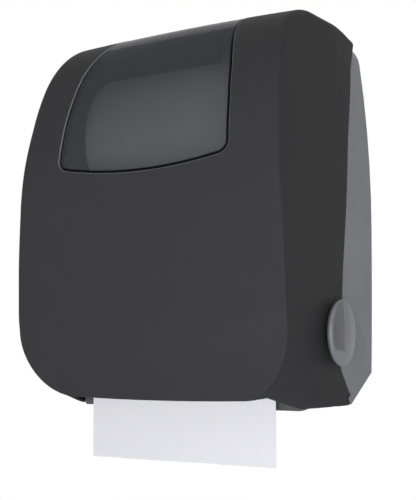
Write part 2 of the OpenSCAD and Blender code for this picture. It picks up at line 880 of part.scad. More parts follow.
module pinch_pivot_rod()
    color(steel)
        rod_x(-cheek_x - 2, cheek_x + 2, pivot_p[0], pivot_p[1], 2.5);

// Trough under the drum: its ends hook over the cheeks
tray_hw = cheek_x + cheek_t + 3.4;
tray_lip_z = -2.4;
tray_points = [[-hinge_y - 20, 26], [-drum_y - 19, 26]];

module outlet_tray()
    color([0.7, 0.7, 0.72])
        difference() {
            union() {
                along_x(-tray_hw, tray_hw)
                    polygon(round_loop([
                        [-hinge_y - 12, 2, 0, 0],
                        [-drum_y - 16, tray_lip_z, 12, 3],
                        [-drum_y - 29.4, tray_lip_z, 3, 4],
                        [-drum_y - 29.4, tray_lip_z + 13, 0, 0],
                        [-drum_y - 27.2, tray_lip_z + 13, 0, 0],
                        [-drum_y - 26.4, tray_lip_z + 2.2, 2, 3],
                        [-drum_y - 16, tray_lip_z + 2.2, 10, 3],
                        [-hinge_y - 12, 4.2, 0, 0]]));
                along_x(-cheek_x + 6, cheek_x - 6)
                    polygon([
                        [-floor_y + 8, floor_top(-floor_y + 8) + 0.2],
                        [-floor_y - 4, 2],
                        [-hinge_y - 13, 2],
                        [-hinge_y - 13, 4.2],
                        [-floor_y - 4, 4.2],
                        [-floor_y + 8, floor_top(-floor_y + 8) + 2.4]]);
                mirrored()
                    along_x(tray_hw - 3.2, tray_hw)
                        polygon(round_loop([
                            [-hinge_y - 12, 3, 0, 0],
                            [-drum_y - 27, 3, 0, 0],
                            [-drum_y - 27, 34, 8, 4],
                            [-hinge_y - 12, 34, 6, 4]]));
            }
            for (p = tray_points)
                rod_x(-200, 200, p[0], p[1], 1.9, 32);
        }

module tray_screws()
    color(steel)
        mirrored()
            for (p = tray_points) {
                rod_x(cheek_x + 0.6, tray_hw + 0.2, p[0], p[1], 1.75, 32);
                difference() {
                    rod_x(tray_hw, tray_hw + 2.2, p[0], p[1], 3.4, 32);
                    rod_x(tray_hw + 1.2, tray_hw + 3, p[0], p[1], 1.4, 24);
                }
            }

// Domed knob with a finger scoop on its front half
scoop_r = 95;
scoop_hw = 22;
scoop_x = 4.9;

module hand_knob()
    color(shell_grey)
        translate([knob_x, -drum_y, drum_z])
            difference() {
                rotate([0, 90, 0])
                    rotate_extrude($fn = 96)
                        polygon(concat(
                            [[0, -10], [7.5, -10], [7.5, 0], [knob_r - 3, 0]],
                            fillet([knob_r - 3, 0], [knob_r, 4.2], [0, knob_t + 0.6], 1.2, 4),
                            [for (f = [0.8, 0.6, 0.4, 0.2, 0])
                                [knob_r * f, knob_t - 2.7 * f * f]]));
                rod_x(-11, 1.4, 0, 0, shaft_r + 0.02);
                translate([-5, 0, -20])
                    cylinder(h = 40, r = 1.52, $fn = 32);
                intersection() {
                    translate([scoop_x + sqrt(scoop_r * scoop_r - scoop_hw * scoop_hw), -8, 6.5])
                        sphere(r = scoop_r, $fn = 96);
                    translate([0, -60, -60])
                        cube([60, 60, 120]);
                }
            }

module knob_pin()
    color(steel)
        translate([knob_x - 5, -drum_y, drum_z - 7])
            cylinder(h = 14, r = 1.5, $fn = 32);

module chassis_screws()
    color(steel)
        for (p = concat(boss_points, arm_points)) {
            rod_y(-boss_y - 3.4, -2, p[0], p[1], 1.9);
            difference() {
                rod_y(-boss_y - 5.6, -boss_y - 3.2, p[0], p[1], 3.6);
                rod_y(-boss_y - 6, -boss_y - 4.4, p[0], p[1], 1.5);
            }
        }

// Frame of the part: middle of the wall holes on the wall
module placed()
    translate([0, 0, -fix_z])
        children();

placed() back_housing();
placed() front_cover();
placed() window();
placed() hinge_pins();
placed() lock_barrel();
placed() lock_cam();
placed() latch_hook();
placed() left_roll_arm();
placed() right_roll_arm();
placed() left_core_hub();
placed() right_core_hub();
placed() arm_pivot_pin();
placed() arm_spring();
placed() towel_core();
placed() towel_roll();
placed() towel_web();
placed() left_cheek();
placed() right_cheek();
placed() drum();
placed() drum_bands();
placed() drum_shaft();
placed() drum_bushes();
placed() knife_carrier();
placed() knife_blade();
placed() cam_followers();
placed() left_cam();
placed() right_cam();
placed() pinch_roller();
placed() pinch_shaft();
placed() pinch_frame();
placed() pinch_pivot_rod();
placed() pinch_springs();
placed() outlet_tray();
placed() tray_screws();
placed() hand_knob();
placed() knob_pin();
placed() chassis_screws();
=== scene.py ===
import math
import bpy
import numpy as np
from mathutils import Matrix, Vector


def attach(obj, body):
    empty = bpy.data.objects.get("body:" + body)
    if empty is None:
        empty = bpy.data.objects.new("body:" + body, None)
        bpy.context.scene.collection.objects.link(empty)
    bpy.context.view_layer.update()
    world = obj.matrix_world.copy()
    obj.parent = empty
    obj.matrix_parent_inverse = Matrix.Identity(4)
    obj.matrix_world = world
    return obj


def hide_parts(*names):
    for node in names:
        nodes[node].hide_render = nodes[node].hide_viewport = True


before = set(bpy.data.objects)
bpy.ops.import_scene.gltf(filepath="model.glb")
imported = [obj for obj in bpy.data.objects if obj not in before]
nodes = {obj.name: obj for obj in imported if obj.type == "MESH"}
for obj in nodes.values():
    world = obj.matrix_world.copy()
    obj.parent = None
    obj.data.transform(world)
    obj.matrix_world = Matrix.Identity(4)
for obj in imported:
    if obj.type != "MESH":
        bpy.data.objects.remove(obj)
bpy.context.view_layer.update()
mm = 0.001
benchZ = 250.0  # the wall holes' middle is this far above the casing underside, in mm
tiny = 1e-12


# camera, at the photograph's place: low, to the right, tipped up a little

cameraSet = {"place": (0.4499, -0.9029, -0.1988), "turn": 29.0, "tilt": 3.0, "focalPixels": 925.0,
             "photoWidth": 416.0, "shiftUp": 0.1274, "sensor": 36.0, "nearest": 0.01}


def makeCamera(c):
    lens = bpy.data.cameras.new("photoCamera")
    lens.sensor_fit = "HORIZONTAL"
    lens.sensor_width = c["sensor"]
    lens.lens = c["sensor"] * c["focalPixels"] / c["photoWidth"]
    lens.shift_y = c["shiftUp"]
    lens.clip_start = c["nearest"]
    cam = bpy.data.objects.new("photoCamera", lens)
    cam.location = c["place"]
    cam.rotation_euler = (math.radians(90 + c["tilt"]), 0, math.radians(c["turn"]))
    bpy.context.scene.collection.objects.link(cam)
    bpy.context.scene.camera = cam


makeCamera(cameraSet)
bpy.context.scene.view_settings.view_transform = "Standard"
print("camera set")


# small helpers for node trees

def link(tree, a, b):
    tree.links.new(a, b)


def feed(tree, socket, value):  # a number or a colour is set, an output is linked
    if isinstance(value, tuple):
        socket.default_value = (*value, 1.0)
    elif isinstance(value, (int, float)):
        socket.default_value = value
    else:
        link(tree, value, socket)


def addNode(tree, kind, **values):
    node = tree.nodes.new(kind)
    for key, value in values.items():
        setattr(node, key, value)
    return node


def addMath(tree, operation, a, b=None, clamp=False):
    node = addNode(tree, "ShaderNodeMath", operation=operation, use_clamp=clamp)
    for socket, value in zip(node.inputs, (a, b)):
        if value is not None:
            feed(tree, socket, value)
    return node.outputs[0]


def addShares(tree, *pairs):  # each value times its share, summed
    parts = [addMath(tree, "MULTIPLY", value, share) for value, share in pairs]
    total = parts[0]
    for part in parts[1:]:
        total = addMath(tree, "ADD", total, part)
    return total


def addRange(tree, value, low, high, toLow=0.0, toHigh=1.0):
    node = addNode(tree, "ShaderNodeMapRange")
    for name, number in (("Value", value), ("From Min", low), ("From Max", high), ("To Min", toLow),
                         ("To Max", toHigh)):
        feed(tree, node.inputs[name], number)
    return node.outputs["Result"]


def addNoise(tree, coords, scale, detail=2.0, rough=0.5):
    node = addNode(tree, "ShaderNodeTexNoise")
    for name, value in (("Vector", coords), ("Scale", scale), ("Detail", detail), ("Roughness", rough)):
        feed(tree, node.inputs[name], value)
    return node.outputs["Fac"]


def objectPlace(tree):
    return addNode(tree, "ShaderNodeTexCoord").outputs["Object"]


def axisOf(tree, vector, axis):
    split = addNode(tree, "ShaderNodeSeparateXYZ")
    link(tree, vector, split.inputs[0])
    return split.outputs[axis]


def drawnOut(tree, coords, share):  # stretched along x, so that noise turns into lines
    node = addNode(tree, "ShaderNodeMapping")
    node.inputs["Scale"].default_value = (share, 1.0, 1.0)
    link(tree, coords, node.inputs["Vector"])
    return node.outputs[0]


def newGroup(name, ins, outs):  # every socket carries a single value
    tree = bpy.data.node_groups.new(name, "ShaderNodeTree")
    for label, start in ins.items():
        socket = tree.interface.new_socket(label, in_out="INPUT", socket_type="NodeSocketFloat")
        socket.default_value = start
    for label in outs:
        tree.interface.new_socket(label, in_out="OUTPUT", socket_type="NodeSocketFloat")
    return tree, tree.nodes.new("NodeGroupInput").outputs, tree.nodes.new("NodeGroupOutput").inputs


# shared effects

def makeMouldGrain():
    tree, ins, outs = newGroup("mouldGrain", {"Grains": 1500.0}, ["Height", "Tone"])
    coords = objectPlace(tree)
    fine = addNoise(tree, coords, ins["Grains"], rough=0.6)
    broad = addNoise(tree, coords, scale=38.0, detail=3.0)
    link(tree, fine, outs["Height"])
    link(tree, addShares(tree, (fine, 0.35), (broad, 0.65)), outs["Tone"])
    return tree


def makeEdgeWear():
    tree, ins, outs = newGroup("edgeWear", {"Width": 0.0008, "Cover": 0.5}, ["Mask"])
    bevel = addNode(tree, "ShaderNodeBevel", samples=4)
    link(tree, ins["Width"], bevel.inputs["Radius"])
    dot = addNode(tree, "ShaderNodeVectorMath", operation="DOT_PRODUCT")
    link(tree, bevel.outputs[0], dot.inputs[0])
    link(tree, addNode(tree, "ShaderNodeNewGeometry").outputs["Normal"], dot.inputs[1])
    turned = addRange(tree, dot.outputs["Value"], low=0.995, high=0.82)
    patches = addNoise(tree, objectPlace(tree), scale=240.0, detail=4.0, rough=0.65)
    broken = addRange(tree, patches, low=0.35, high=0.7, toLow=0.15)
    worn = addMath(tree, "MULTIPLY", turned, broken)
    link(tree, addMath(tree, "MULTIPLY", worn, ins["Cover"], clamp=True), outs["Mask"])
    return tree


def makeHandMarks():
    tree, ins, outs = newGroup("handMarks", {"Low": 0.4, "High": 0.5}, ["Roughness"])
    coords = objectPlace(tree)
    smear = addNoise(tree, coords, scale=14.0, detail=4.0, rough=0.55)
    speck = addNoise(tree, coords, scale=420.0, detail=1.0)
    mixed = addShares(tree, (smear, 0.8), (speck, 0.2))
    link(tree, addRange(tree, mixed, 0.32, 0.68, ins["Low"], ins["High"]), outs["Roughness"])
    return tree


def makeDustFall():
    tree, ins, outs = newGroup("dustFall", {"Amount": 0.05}, ["Mask"])
    normal = addNode(tree, "ShaderNodeNewGeometry").outputs["Normal"]
    upward = addRange(tree, axisOf(tree, normal, "Z"), low=0.35, high=1.0)
    patches = addNoise(tree, objectPlace(tree), scale=60.0, detail=5.0, rough=0.7)
    fallen = addMath(tree, "MULTIPLY", upward, addRange(tree, patches, low=0.4, high=0.75, toLow=0.3))
    link(tree, addMath(tree, "MULTIPLY", fallen, ins["Amount"], clamp=True), outs["Mask"])
    return tree


def makeBrushLines():
    tree, ins, outs = newGroup("brushLines", {"Lines": 900.0}, ["Height", "Tone"])
    coords = objectPlace(tree)
    fine = addNoise(tree, drawnOut(tree, coords, share=0.04), ins["Lines"], detail=3.0, rough=0.7)
    link(tree, fine, outs["Height"])
    link(tree, addShares(tree, (fine, 0.5), (addNoise(tree, coords, scale=50.0), 0.5)), outs["Tone"])
    return tree


def makePaperFibre():
    tree, ins, outs = newGroup("paperFibre", {"Pitch": 210.0}, ["Height", "Tone"])
    coords = objectPlace(tree)
    fibres = addNoise(tree, coords, scale=1900.0, detail=4.0, rough=0.7)
    crepe = addNoise(tree, drawnOut(tree, coords, share=0.12), scale=850.0)
    dots = addNode(tree, "ShaderNodeTexVoronoi", feature="F1")
    dots.inputs["Randomness"].default_value = 0.12
    link(tree, coords, dots.inputs["Vector"])
    link(tree, ins["Pitch"], dots.inputs["Scale"])
    pressed = addRange(tree, dots.outputs["Distance"], low=0.22, high=0.42)
    link(tree, addShares(tree, (pressed, 0.6), (crepe, 0.5), (fibres, 0.25)), outs["Height"])
    cloudy = addNoise(tree, coords, scale=24.0, detail=3.0)
    link(tree, addShares(tree, (fibres, 0.5), (cloudy, 0.5)), outs["Tone"])
    return tree


effects = {"grain": makeMouldGrain(), "wear": makeEdgeWear(), "marks": makeHandMarks(), "dust": makeDustFall(),
           "brush": makeBrushLines(), "fibre": makePaperFibre()}
print("shader groups:", ", ".join(g.name for g in effects.values()))


# finishes: one dictionary each, colours in linear light

coverBlack = {"name": "coverBlack", "slot": "cover_black",
              "colour": (0.0375, 0.0375, 0.0395), "paler": (0.0450, 0.0450, 0.0475),
              "texture": "grain", "size": 1700.0, "bump": 0.05, "depth": 0.00012, "rough": (0.48, 0.56),
              "specular": 0.5, "index": 1.09, "wear": (0.11, 0.11, 0.115), "wearWidth": 0.0007,
              # the edge tone on the next line is a painted highlight along the window aperture's rounded edge
              "wearCover": 0.35, "dust": 0.05, "coatRough": 0.15, "edgeHighlightTone": (0.17, 0.175, 0.19)}
shellGrey = {"name": "shellGrey", "slot": "shell_grey",
             "colour": (0.192, 0.194, 0.214), "paler": (0.235, 0.237, 0.259),
             "texture": "grain", "size": 1500.0, "bump": 0.08, "depth": 0.00014, "rough": (0.44, 0.54),
             "specular": 0.5, "index": 1.3, "wear": (0.30, 0.30, 0.31), "wearWidth": 0.0008,
             "wearCover": 0.35, "dust": 0.06}
knobGrey = {"name": "knobGrey", "slot": "shell_grey",
            "colour": (0.190, 0.192, 0.213), "paler": (0.225, 0.227, 0.250),
            "texture": "grain", "size": 2200.0, "bump": 0.04, "depth": 0.0001, "rough": (0.34, 0.44),
            "specular": 0.5, "index": 1.3, "wear": (0.30, 0.30, 0.32), "wearWidth": 0.001,
            # the last colour on the next line is painted shade for the finger dish's recess
            "wearCover": 0.5, "dust": 0.03, "dishShadeTone": (0.090, 0.091, 0.106)}
frameGrey = {"name": "frameGrey", "slot": "frame_grey",
             "colour": (0.36, 0.36, 0.38), "paler": (0.44, 0.44, 0.46),
             "texture": "grain", "size": 1400.0, "bump": 0.08, "depth": 0.00014, "rough": (0.44, 0.56),
             "specular": 0.4, "wear": (0.6, 0.6, 0.6), "wearWidth": 0.0007, "wearCover": 0.3, "dust": 0.04}
hubBlue = {"name": "hubBlue", "slot": "hub_blue", "colour": (0.10, 0.17, 0.28), "paler": (0.14, 0.22, 0.34),
           "texture": "grain", "size": 1600.0, "bump": 0.06, "depth": 0.00012, "rough": (0.34, 0.46),
           "specular": 0.45, "wear": (0.3, 0.36, 0.45), "wearWidth": 0.0007, "wearCover": 0.4, "dust": 0.03}
drumDark = {"name": "drumDark", "slot": "drum_plastic",
            "colour": (0.085, 0.085, 0.092), "paler": (0.12, 0.12, 0.13),
            "texture": "grain", "size": 1300.0, "bump": 0.08, "depth": 0.00014, "rough": (0.42, 0.55),
            "specular": 0.4, "wear": (0.22, 0.22, 0.23), "wearWidth": 0.0008, "wearCover": 0.4, "dust": 0.05}
carrierRed = {"name": "carrierRed", "slot": "drum_plastic",
              "colour": (0.36, 0.05, 0.03), "paler": (0.45, 0.08, 0.05),
              "texture": "grain", "size": 1500.0, "bump": 0.06, "depth": 0.00012, "rough": (0.36, 0.48),
              "specular": 0.45, "wear": (0.6, 0.25, 0.2), "wearWidth": 0.0006, "wearCover": 0.4, "dust": 0.03}
acetalWhite = {"name": "acetalWhite", "slot": "acetal",
               "colour": (0.70, 0.68, 0.60), "paler": (0.80, 0.78, 0.70),
               "texture": "grain", "size": 1800.0, "bump": 0.04, "depth": 0.0001, "rough": (0.30, 0.40),
               "specular": 0.5, "wear": (0.85, 0.84, 0.8), "wearWidth": 0.0005, "wearCover": 0.3, "dust": 0.03}
softRubber = {"name": "softRubber", "slot": "rubber",
              "colour": (0.018, 0.018, 0.018), "paler": (0.034, 0.034, 0.034),
              "texture": "grain", "size": 900.0, "bump": 0.16, "depth": 0.0002, "rough": (0.70, 0.86),
              "specular": 0.3, "wear": (0.07, 0.07, 0.07), "wearWidth": 0.0008, "wearCover": 0.4, "dust": 0.08}
plainSteel = {"name": "plainSteel", "slot": "steel", "colour": (0.52, 0.52, 0.54), "paler": (0.64, 0.64, 0.66),
              "texture": "brush", "size": 900.0, "bump": 0.05, "depth": 0.00008, "rough": (0.24, 0.36),
              "metal": 1.0, "wear": (0.8, 0.8, 0.8), "wearWidth": 0.0005, "wearCover": 0.4, "dust": 0.03}
zincScrew = {"name": "zincScrew", "slot": "steel", "colour": (0.46, 0.46, 0.44), "paler": (0.60, 0.60, 0.57),
             "texture": "brush", "size": 1400.0, "bump": 0.06, "depth": 0.00008, "rough": (0.30, 0.44),
             "metal": 1.0, "wear": (0.75, 0.75, 0.74), "wearWidth": 0.0004, "wearCover": 0.4, "dust": 0.04}
darkSteel = {"name": "darkSteel", "slot": "steel", "colour": (0.09, 0.09, 0.10), "paler": (0.15, 0.15, 0.16),
             "texture": "brush", "size": 1100.0, "bump": 0.05, "depth": 0.00008, "rough": (0.32, 0.45),
             "metal": 1.0, "wear": (0.5, 0.5, 0.5), "wearWidth": 0.0005, "wearCover": 0.6, "dust": 0.03}
# painted shade: the tray's colour is darkened for the shade under the cover; its wide pale edge wear is partly wear
# and partly a painted highlight where the lip catches light
trayShadedGrey = {"name": "trayShadedGrey", "slot": "frame_grey",
            "colour": (0.062, 0.063, 0.070), "paler": (0.085, 0.086, 0.095),
            "texture": "grain", "size": 1500.0, "bump": 0.06, "depth": 0.00012, "rough": (0.40, 0.52),
            "specular": 0.4, "wear": (0.36, 0.36, 0.38), "wearWidth": 0.0012, "wearCover": 0.6, "dust": 0.06}
coreCard = {"name": "coreCard", "slot": "card", "colour": (0.36, 0.26, 0.15), "paler": (0.48, 0.36, 0.22),
            "texture": "fibre", "size": 90.0, "bump": 0.2, "depth": 0.0002, "rough": (0.80, 0.92),
            "specular": 0.2, "wear": (0.6, 0.48, 0.33), "wearWidth": 0.0008, "wearCover": 0.5, "dust": 0.03}
rollPaper = {"name": "rollPaper", "slot": "paper", "colour": (0.74, 0.74, 0.77), "paler": (0.80, 0.80, 0.83),
             "texture": "fibre", "size": 210.0, "bump": 0.22, "depth": 0.0003, "rough": (0.82, 0.94),
             "specular": 0.15, "sheen": 0.15}
leafPaper = {"name": "leafPaper", "slot": "paper", "colour": (0.72, 0.72, 0.76), "paler": (0.77, 0.77, 0.81),
             "texture": "fibre", "size": 210.0, "bump": 0.20, "depth": 0.0003, "rough": (0.82, 0.94),
             "specular": 0.15, "sheen": 0.15}
dustTone = (0.42, 0.41, 0.39)
sizeSocket = {"grain": "Grains", "brush": "Lines", "fibre": "Pitch"}


def newMaterial(name):
    material = bpy.data.materials.new(name)
    material.use_nodes = True
    return material, material.node_tree, material.node_tree.nodes["Principled BSDF"]


def placeGroup(tree, kind, **values):
    node = addNode(tree, "ShaderNodeGroup", node_tree=effects[kind])
    for label, value in values.items():
        node.inputs[label].default_value = value
    return node.outputs


def mixColour(tree, factor, a, b):
    node = addNode(tree, "ShaderNodeMix", data_type="RGBA")
    for slot, value in ((0, factor), (6, a), (7, b)):  # factor and two colours of a Mix node
        feed(tree, node.inputs[slot], value)
    return node.outputs[2]


def pointMark(tree, name):
    return addNode(tree, "ShaderNodeAttribute", attribute_name=name).outputs["Fac"]


def addDust(tree, colour, amount):
    return mixColour(tree, placeGroup(tree, "dust", Amount=amount)["Mask"], colour, dustTone)


def addMarks(tree, shader, low, high):
    link(tree, placeGroup(tree, "marks", Low=low, High=high)["Roughness"], shader.inputs["Roughness"])


def makeFinish(f):
    material, tree, shader = newMaterial(f["name"])
    texture = placeGroup(tree, f["texture"], **{sizeSocket[f["texture"]]: f["size"]})
    colour = mixColour(tree, texture["Tone"], f["colour"], f["paler"])
    if "wear" in f:
        worn = placeGroup(tree, "wear", Width=f["wearWidth"], Cover=f["wearCover"])
        colour = mixColour(tree, worn["Mask"], colour, f["wear"])
    if "dust" in f:
        colour = addDust(tree, colour, f["dust"])
    if "dishShadeTone" in f:  # painted shade: the mesh marks the finger dish, whose darker colour stands in for the shade in its recess
        colour = mixColour(tree, pointMark(tree, "dishShade"), colour, f["dishShadeTone"])
    if "edgeHighlightTone" in f:  # painted highlight: the mesh marks the aperture's rounded edge, which gets a paler painted colour for the light it catches and a real clear coat
        polishAndHighlight = pointMark(tree, "polishAndHighlight")
        colour = mixColour(tree, polishAndHighlight, colour, f["edgeHighlightTone"])
        link(tree, polishAndHighlight, shader.inputs["Coat Weight"])
        shader.inputs["Coat Roughness"].default_value = f["coatRough"]
    link(tree, colour, shader.inputs["Base Color"])
    addMarks(tree, shader, *f["rough"])
    bump = addNode(tree, "ShaderNodeBump")
    bump.inputs["Strength"].default_value = f["bump"]
    bump.inputs["Distance"].default_value = f["depth"]
    link(tree, texture["Height"], bump.inputs["Height"])
    link(tree, bump.outputs[0], shader.inputs["Normal"])
    shader.inputs["Metallic"].default_value = f.get("metal", 0.0)
    shader.inputs["Specular IOR Level"].default_value = f.get("specular", 0.5)
    shader.inputs["IOR"].default_value = f.get("index", 1.5)
    shader.inputs["Sheen Weight"].default_value = f.get("sheen", 0.0)
    return material


finishList = [coverBlack, shellGrey, knobGrey, frameGrey, hubBlue, drumDark, carrierRed, acetalWhite, softRubber,
              plainSteel, zincScrew, darkSteel, trayShadedGrey, coreCard, rollPaper, leafPaper]
finish = {f["name"]: makeFinish(f) for f in finishList}
print("finishes:", len(finish))


# smoked window: a dark clear sheet, seen through both faces, with fine scuffs and a little dust

smokeSet = {"tint": (0.068, 0.070, 0.077), "paler": (0.079, 0.081, 0.089), "grains": 45.0, "dust": 0.03,
            "alpha": (0.46, 0.84), "facingPower": 2.0, "rough": (0.24, 0.30), "index": 1.08, "specular": 0.5,
            # the edge colour on the next line is painted shade along the pane's edge; the strip colour after it is a
            # painted reflection
            "border": (-2.9, -2.2), "borderShadeTone": (0.006, 0.006, 0.007),
            "topGlare": (0.0945, 0.0955), "topGlareTone": (0.070, 0.070, 0.078)}


def makeSmoke(s):
    material, tree, shader = newMaterial("windowSmoke")
    colour = mixColour(tree, placeGroup(tree, "grain", Grains=s["grains"])["Tone"], s["tint"], s["paler"])
    colour = addDust(tree, colour, s["dust"])
    # painted reflection: the strip over the top is painted paler and solid, standing in for the glare on its slant
    topGlare = addRange(tree, axisOf(tree, objectPlace(tree), "Z"), *s["topGlare"])
    # painted shade: the band just inside the pane's edge, by the aperture gap, is painted nearly black and solid
    border = addRange(tree, pointMark(tree, "inset"), *s["border"])
    colour = mixColour(tree, border, mixColour(tree, topGlare, colour, s["topGlareTone"]), s["borderShadeTone"])
    link(tree, colour, shader.inputs["Base Color"])
    addMarks(tree, shader, *s["rough"])
    shader.inputs["IOR"].default_value = s["index"]
    shader.inputs["Specular IOR Level"].default_value = s["specular"]
    facing = addNode(tree, "ShaderNodeLayerWeight").outputs["Facing"]  # a slanting look passes more of the tint
    clear = addRange(tree, addMath(tree, "POWER", facing, s["facingPower"]), 0.0, 1.0, *s["alpha"])
    # the painted reflection strip and the painted shade band along the edge are made solid
    solid = addMath(tree, "MAXIMUM", clear, topGlare)
    link(tree, addMath(tree, "MAXIMUM", solid, border), shader.inputs["Alpha"])
    return material


windowSmoke = makeSmoke(smokeSet)


# stage: pale floor, soft lamps, white surround

stageSet = {"floorZ": -0.62, "floorHalf": 6.0, "floorTone": 0.92, "floorRough": 0.9, "nearRadius": 0.5,
            "farRadius": 1.5, "surround": 0.27}
lampList = [
    {"name": "frontLamp", "place": (0.38, -1.72, -0.40), "size": 0.5, "watts": 13.0, "aim": (0.05, -0.2, -0.2)},
    {"name": "sideLamp", "place": (1.08, -1.48, -0.36), "size": 0.5, "watts": 7.8, "aim": (0.1, -0.2, -0.15)},
    {"name": "rearLamp", "place": (-1.2, 1.5, 0.3), "size": 1.2, "watts": 22.0, "aim": (0.0, -0.11, -0.05)}]


# 1 for what the camera sees, directly, in a reflection or through the window
def seenRay(tree):
    path = addNode(tree, "ShaderNodeLightPath").outputs
    mirrored = addMath(tree, "MAXIMUM", path["Is Glossy Ray"], path["Is Transmission Ray"])
    return addMath(tree, "MAXIMUM", path["Is Camera Ray"], mirrored)


def makeFloor(s):
    h = s["floorHalf"]
    mesh = bpy.data.meshes.new("floor")
    mesh.from_pydata([(-h, -h, 0), (h, -h, 0), (h, h, 0), (-h, h, 0)], [], [(0, 1, 2, 3)])
    floor = bpy.data.objects.new("floor", mesh)
    floor.location = (0, 0, s["floorZ"])
    bpy.context.scene.collection.objects.link(floor)
    material, tree, shader = newMaterial("floorPale")
    feed(tree, shader.inputs["Base Color"], (s["floorTone"],) * 3)
    shader.inputs["Roughness"].default_value = s["floorRough"]
    white = addNode(tree, "ShaderNodeEmission")
    place = addNode(tree, "ShaderNodeNewGeometry").outputs["Position"]
    squares = [addMath(tree, "POWER", axisOf(tree, place, axis), 2.0) for axis in ("X", "Y")]
    away = addMath(tree, "SQRT", addMath(tree, "ADD", *squares))
    far = addRange(tree, away, s["nearRadius"], s["farRadius"])
    mix = addNode(tree, "ShaderNodeMixShader")
    link(tree, addMath(tree, "MULTIPLY", far, seenRay(tree)), mix.inputs[0])
    link(tree, shader.outputs[0], mix.inputs[1])
    link(tree, white.outputs[0], mix.inputs[2])
    link(tree, mix.outputs[0], tree.nodes["Material Output"].inputs["Surface"])
    mesh.materials.append(material)


def makeSurround(s):
    world = bpy.data.worlds.new("whiteSurround")
    world.use_nodes = True
    bpy.context.scene.world = world
    tree = world.node_tree
    back = tree.nodes["Background"]
    back.inputs["Color"].default_value = (1, 1, 1, 1)
    link(tree, addRange(tree, seenRay(tree), 0.0, 1.0, s["surround"], 1.0), back.inputs["Strength"])


def makeLamp(s):
    light = bpy.data.lights.new(s["name"], "AREA")
    light.size = s["size"]
    light.energy = s["watts"]
    lamp = bpy.data.objects.new(s["name"], light)
    lamp.location = s["place"]
    lamp.rotation_euler = (Vector(s["aim"]) - Vector(s["place"])).to_track_quat("-Z", "Y").to_euler()
    bpy.context.scene.collection.objects.link(lamp)


makeFloor(stageSet)
makeSurround(stageSet)
for lampSet in lampList:
    makeLamp(lampSet)
print("stage and", len(lampList), "lamps")


# outlines and surfaces, in mm on the bench: x right, y to the wall, z from the casing underside

def rampFrom(v, start, over):  # 0 at start, 1 from start + over on
    return np.clip((v - start) / over, 0.0, 1.0)


def onCircle(turn):
    return np.array([math.cos(turn), math.sin(turn)])


def unitVector(v):
    return v / max(np.linalg.norm(v), tiny)


def roundCorner(p, q, s, r, steps):
    a, b = unitVector(p - q), unitVector(s - q)
    half = math.acos(float(np.clip(a @ b, -1, 1))) / 2
    c = q + unitVector(a + b) * r / math.sin(half)
    u = q + a * r / math.tan(half) - c
    v = q + b * r / math.tan(half) - c
    start = math.atan2(u[1], u[0])
    sweep = math.atan2(u[0] * v[1] - u[1] * v[0], u @ v)
    return [c + r * onCircle(start + sweep * k / steps) for k in range(steps + 1)]


def roundPath(corners, closed=False):  # each corner: two coordinates, radius, steps round it
    n = len(corners)
    points = []
    for k, (a, b, r, steps) in enumerate(corners):
        q = np.array([a, b], float)
        if r == 0 or (not closed and k in (0, n - 1)):
            points.append(q)
        else:
            before, after = corners[(k - 1) % n], corners[(k + 1) % n]
            points += roundCorner(np.array(before[:2], float), q, np.array(after[:2], float), r, steps)
    return np.array(points)


def mirrorOutline(corners):
    return [(-a, *rest) for a, *rest in reversed(corners)]


def densePath(path, most):
    points = []
    for a, b in zip(path[:-1], path[1:]):
        k = max(1, math.ceil(np.linalg.norm(b - a) / most))
        points += [a + (b - a) * i / k for i in range(k)]
    return np.array(points + [path[-1]])


def outlineDistance(points, outline, batch=4000):  # below zero inside
    a, b = outline, np.roll(outline, -1, axis=0)
    d = b - a
    rise = np.where(np.abs(d[:, 1]) < tiny, tiny, d[:, 1])
    out = np.empty(len(points))
    for first in range(0, len(points), batch):
        p = points[first:first + batch]
        rel = p[:, None, :] - a[None]
        t = np.clip((rel * d).sum(-1) / np.maximum((d * d).sum(-1), tiny), 0, 1)
        near = np.sqrt(((rel - t[..., None] * d) ** 2).sum(-1)).min(1)
        above = (a[None, :, 1] > p[:, 1:2]) != (b[None, :, 1] > p[:, 1:2])
        left = p[:, 0:1] < d[None, :, 0] * (p[:, 1:2] - a[None, :, 1]) / rise[None] + a[None, :, 0]
        inside = (above & left).sum(1) % 2 == 1
        out[first:first + batch] = np.where(inside, -near, near)
    return out


# ramps are pairs of start and length; sway moves the front corners in and out along the height
casing = {"width": 281.0, "height": 378.0, "wall": 2.6, "hingeY": 66.0, "hingeZ": 6.4, "tailY": 50.0, "tailZ": 0.6,
          "dipY": 136.0, "dip": -0.8, "lipY": 195.0, "lipZ": 9.0, "lipR": 4, "lipCorner": 62.5, "lipPower": 1.4,
          "frontY": 216.0, "lowZ": 54.0, "lowR": 150, "leanZ": 257.0, "leanR": 257.0, "browY": 171.0,
          "browZ": 363.0, "browR": 105.0, "topY": 44.0, "topR": 160, "rearFall": 5.0, "waist": 180.0,
          "highTaper": 16.0, "lowTaper": 2.0, "deepTaper": 6.0, "deepRamp": (129.0, 136.0), "deepPower": 1.5,
          "crown": 6.0, "crownHigh": 0.65, "crownHighRamp": (250, 110), "crownLow": 0.7, "crownLowRamp": (45, -35),
          "crease": 5.0, "creaseLow": 1.0, "creaseRamp": (180, -95), "shoulder": 7.0,
          "shoulderRamps": ((200, 90), (290, 40)), "rearShoulder": 2.5, "rearRamp": (-9, 6),
          "flare": 1.2, "flarePower": 4, "cornerBack": 3.5, "swayZ": (20, 68, 126, 190, 250),
          "sway": (0.0, 1.0, 0.0, -0.75, 0.0), "fan": (-70.0, 150.0), "fanHole": 0.02, "step": 4.0,
          "acrossFront": 30, "acrossEdge": 9, "acrossSide": 40}


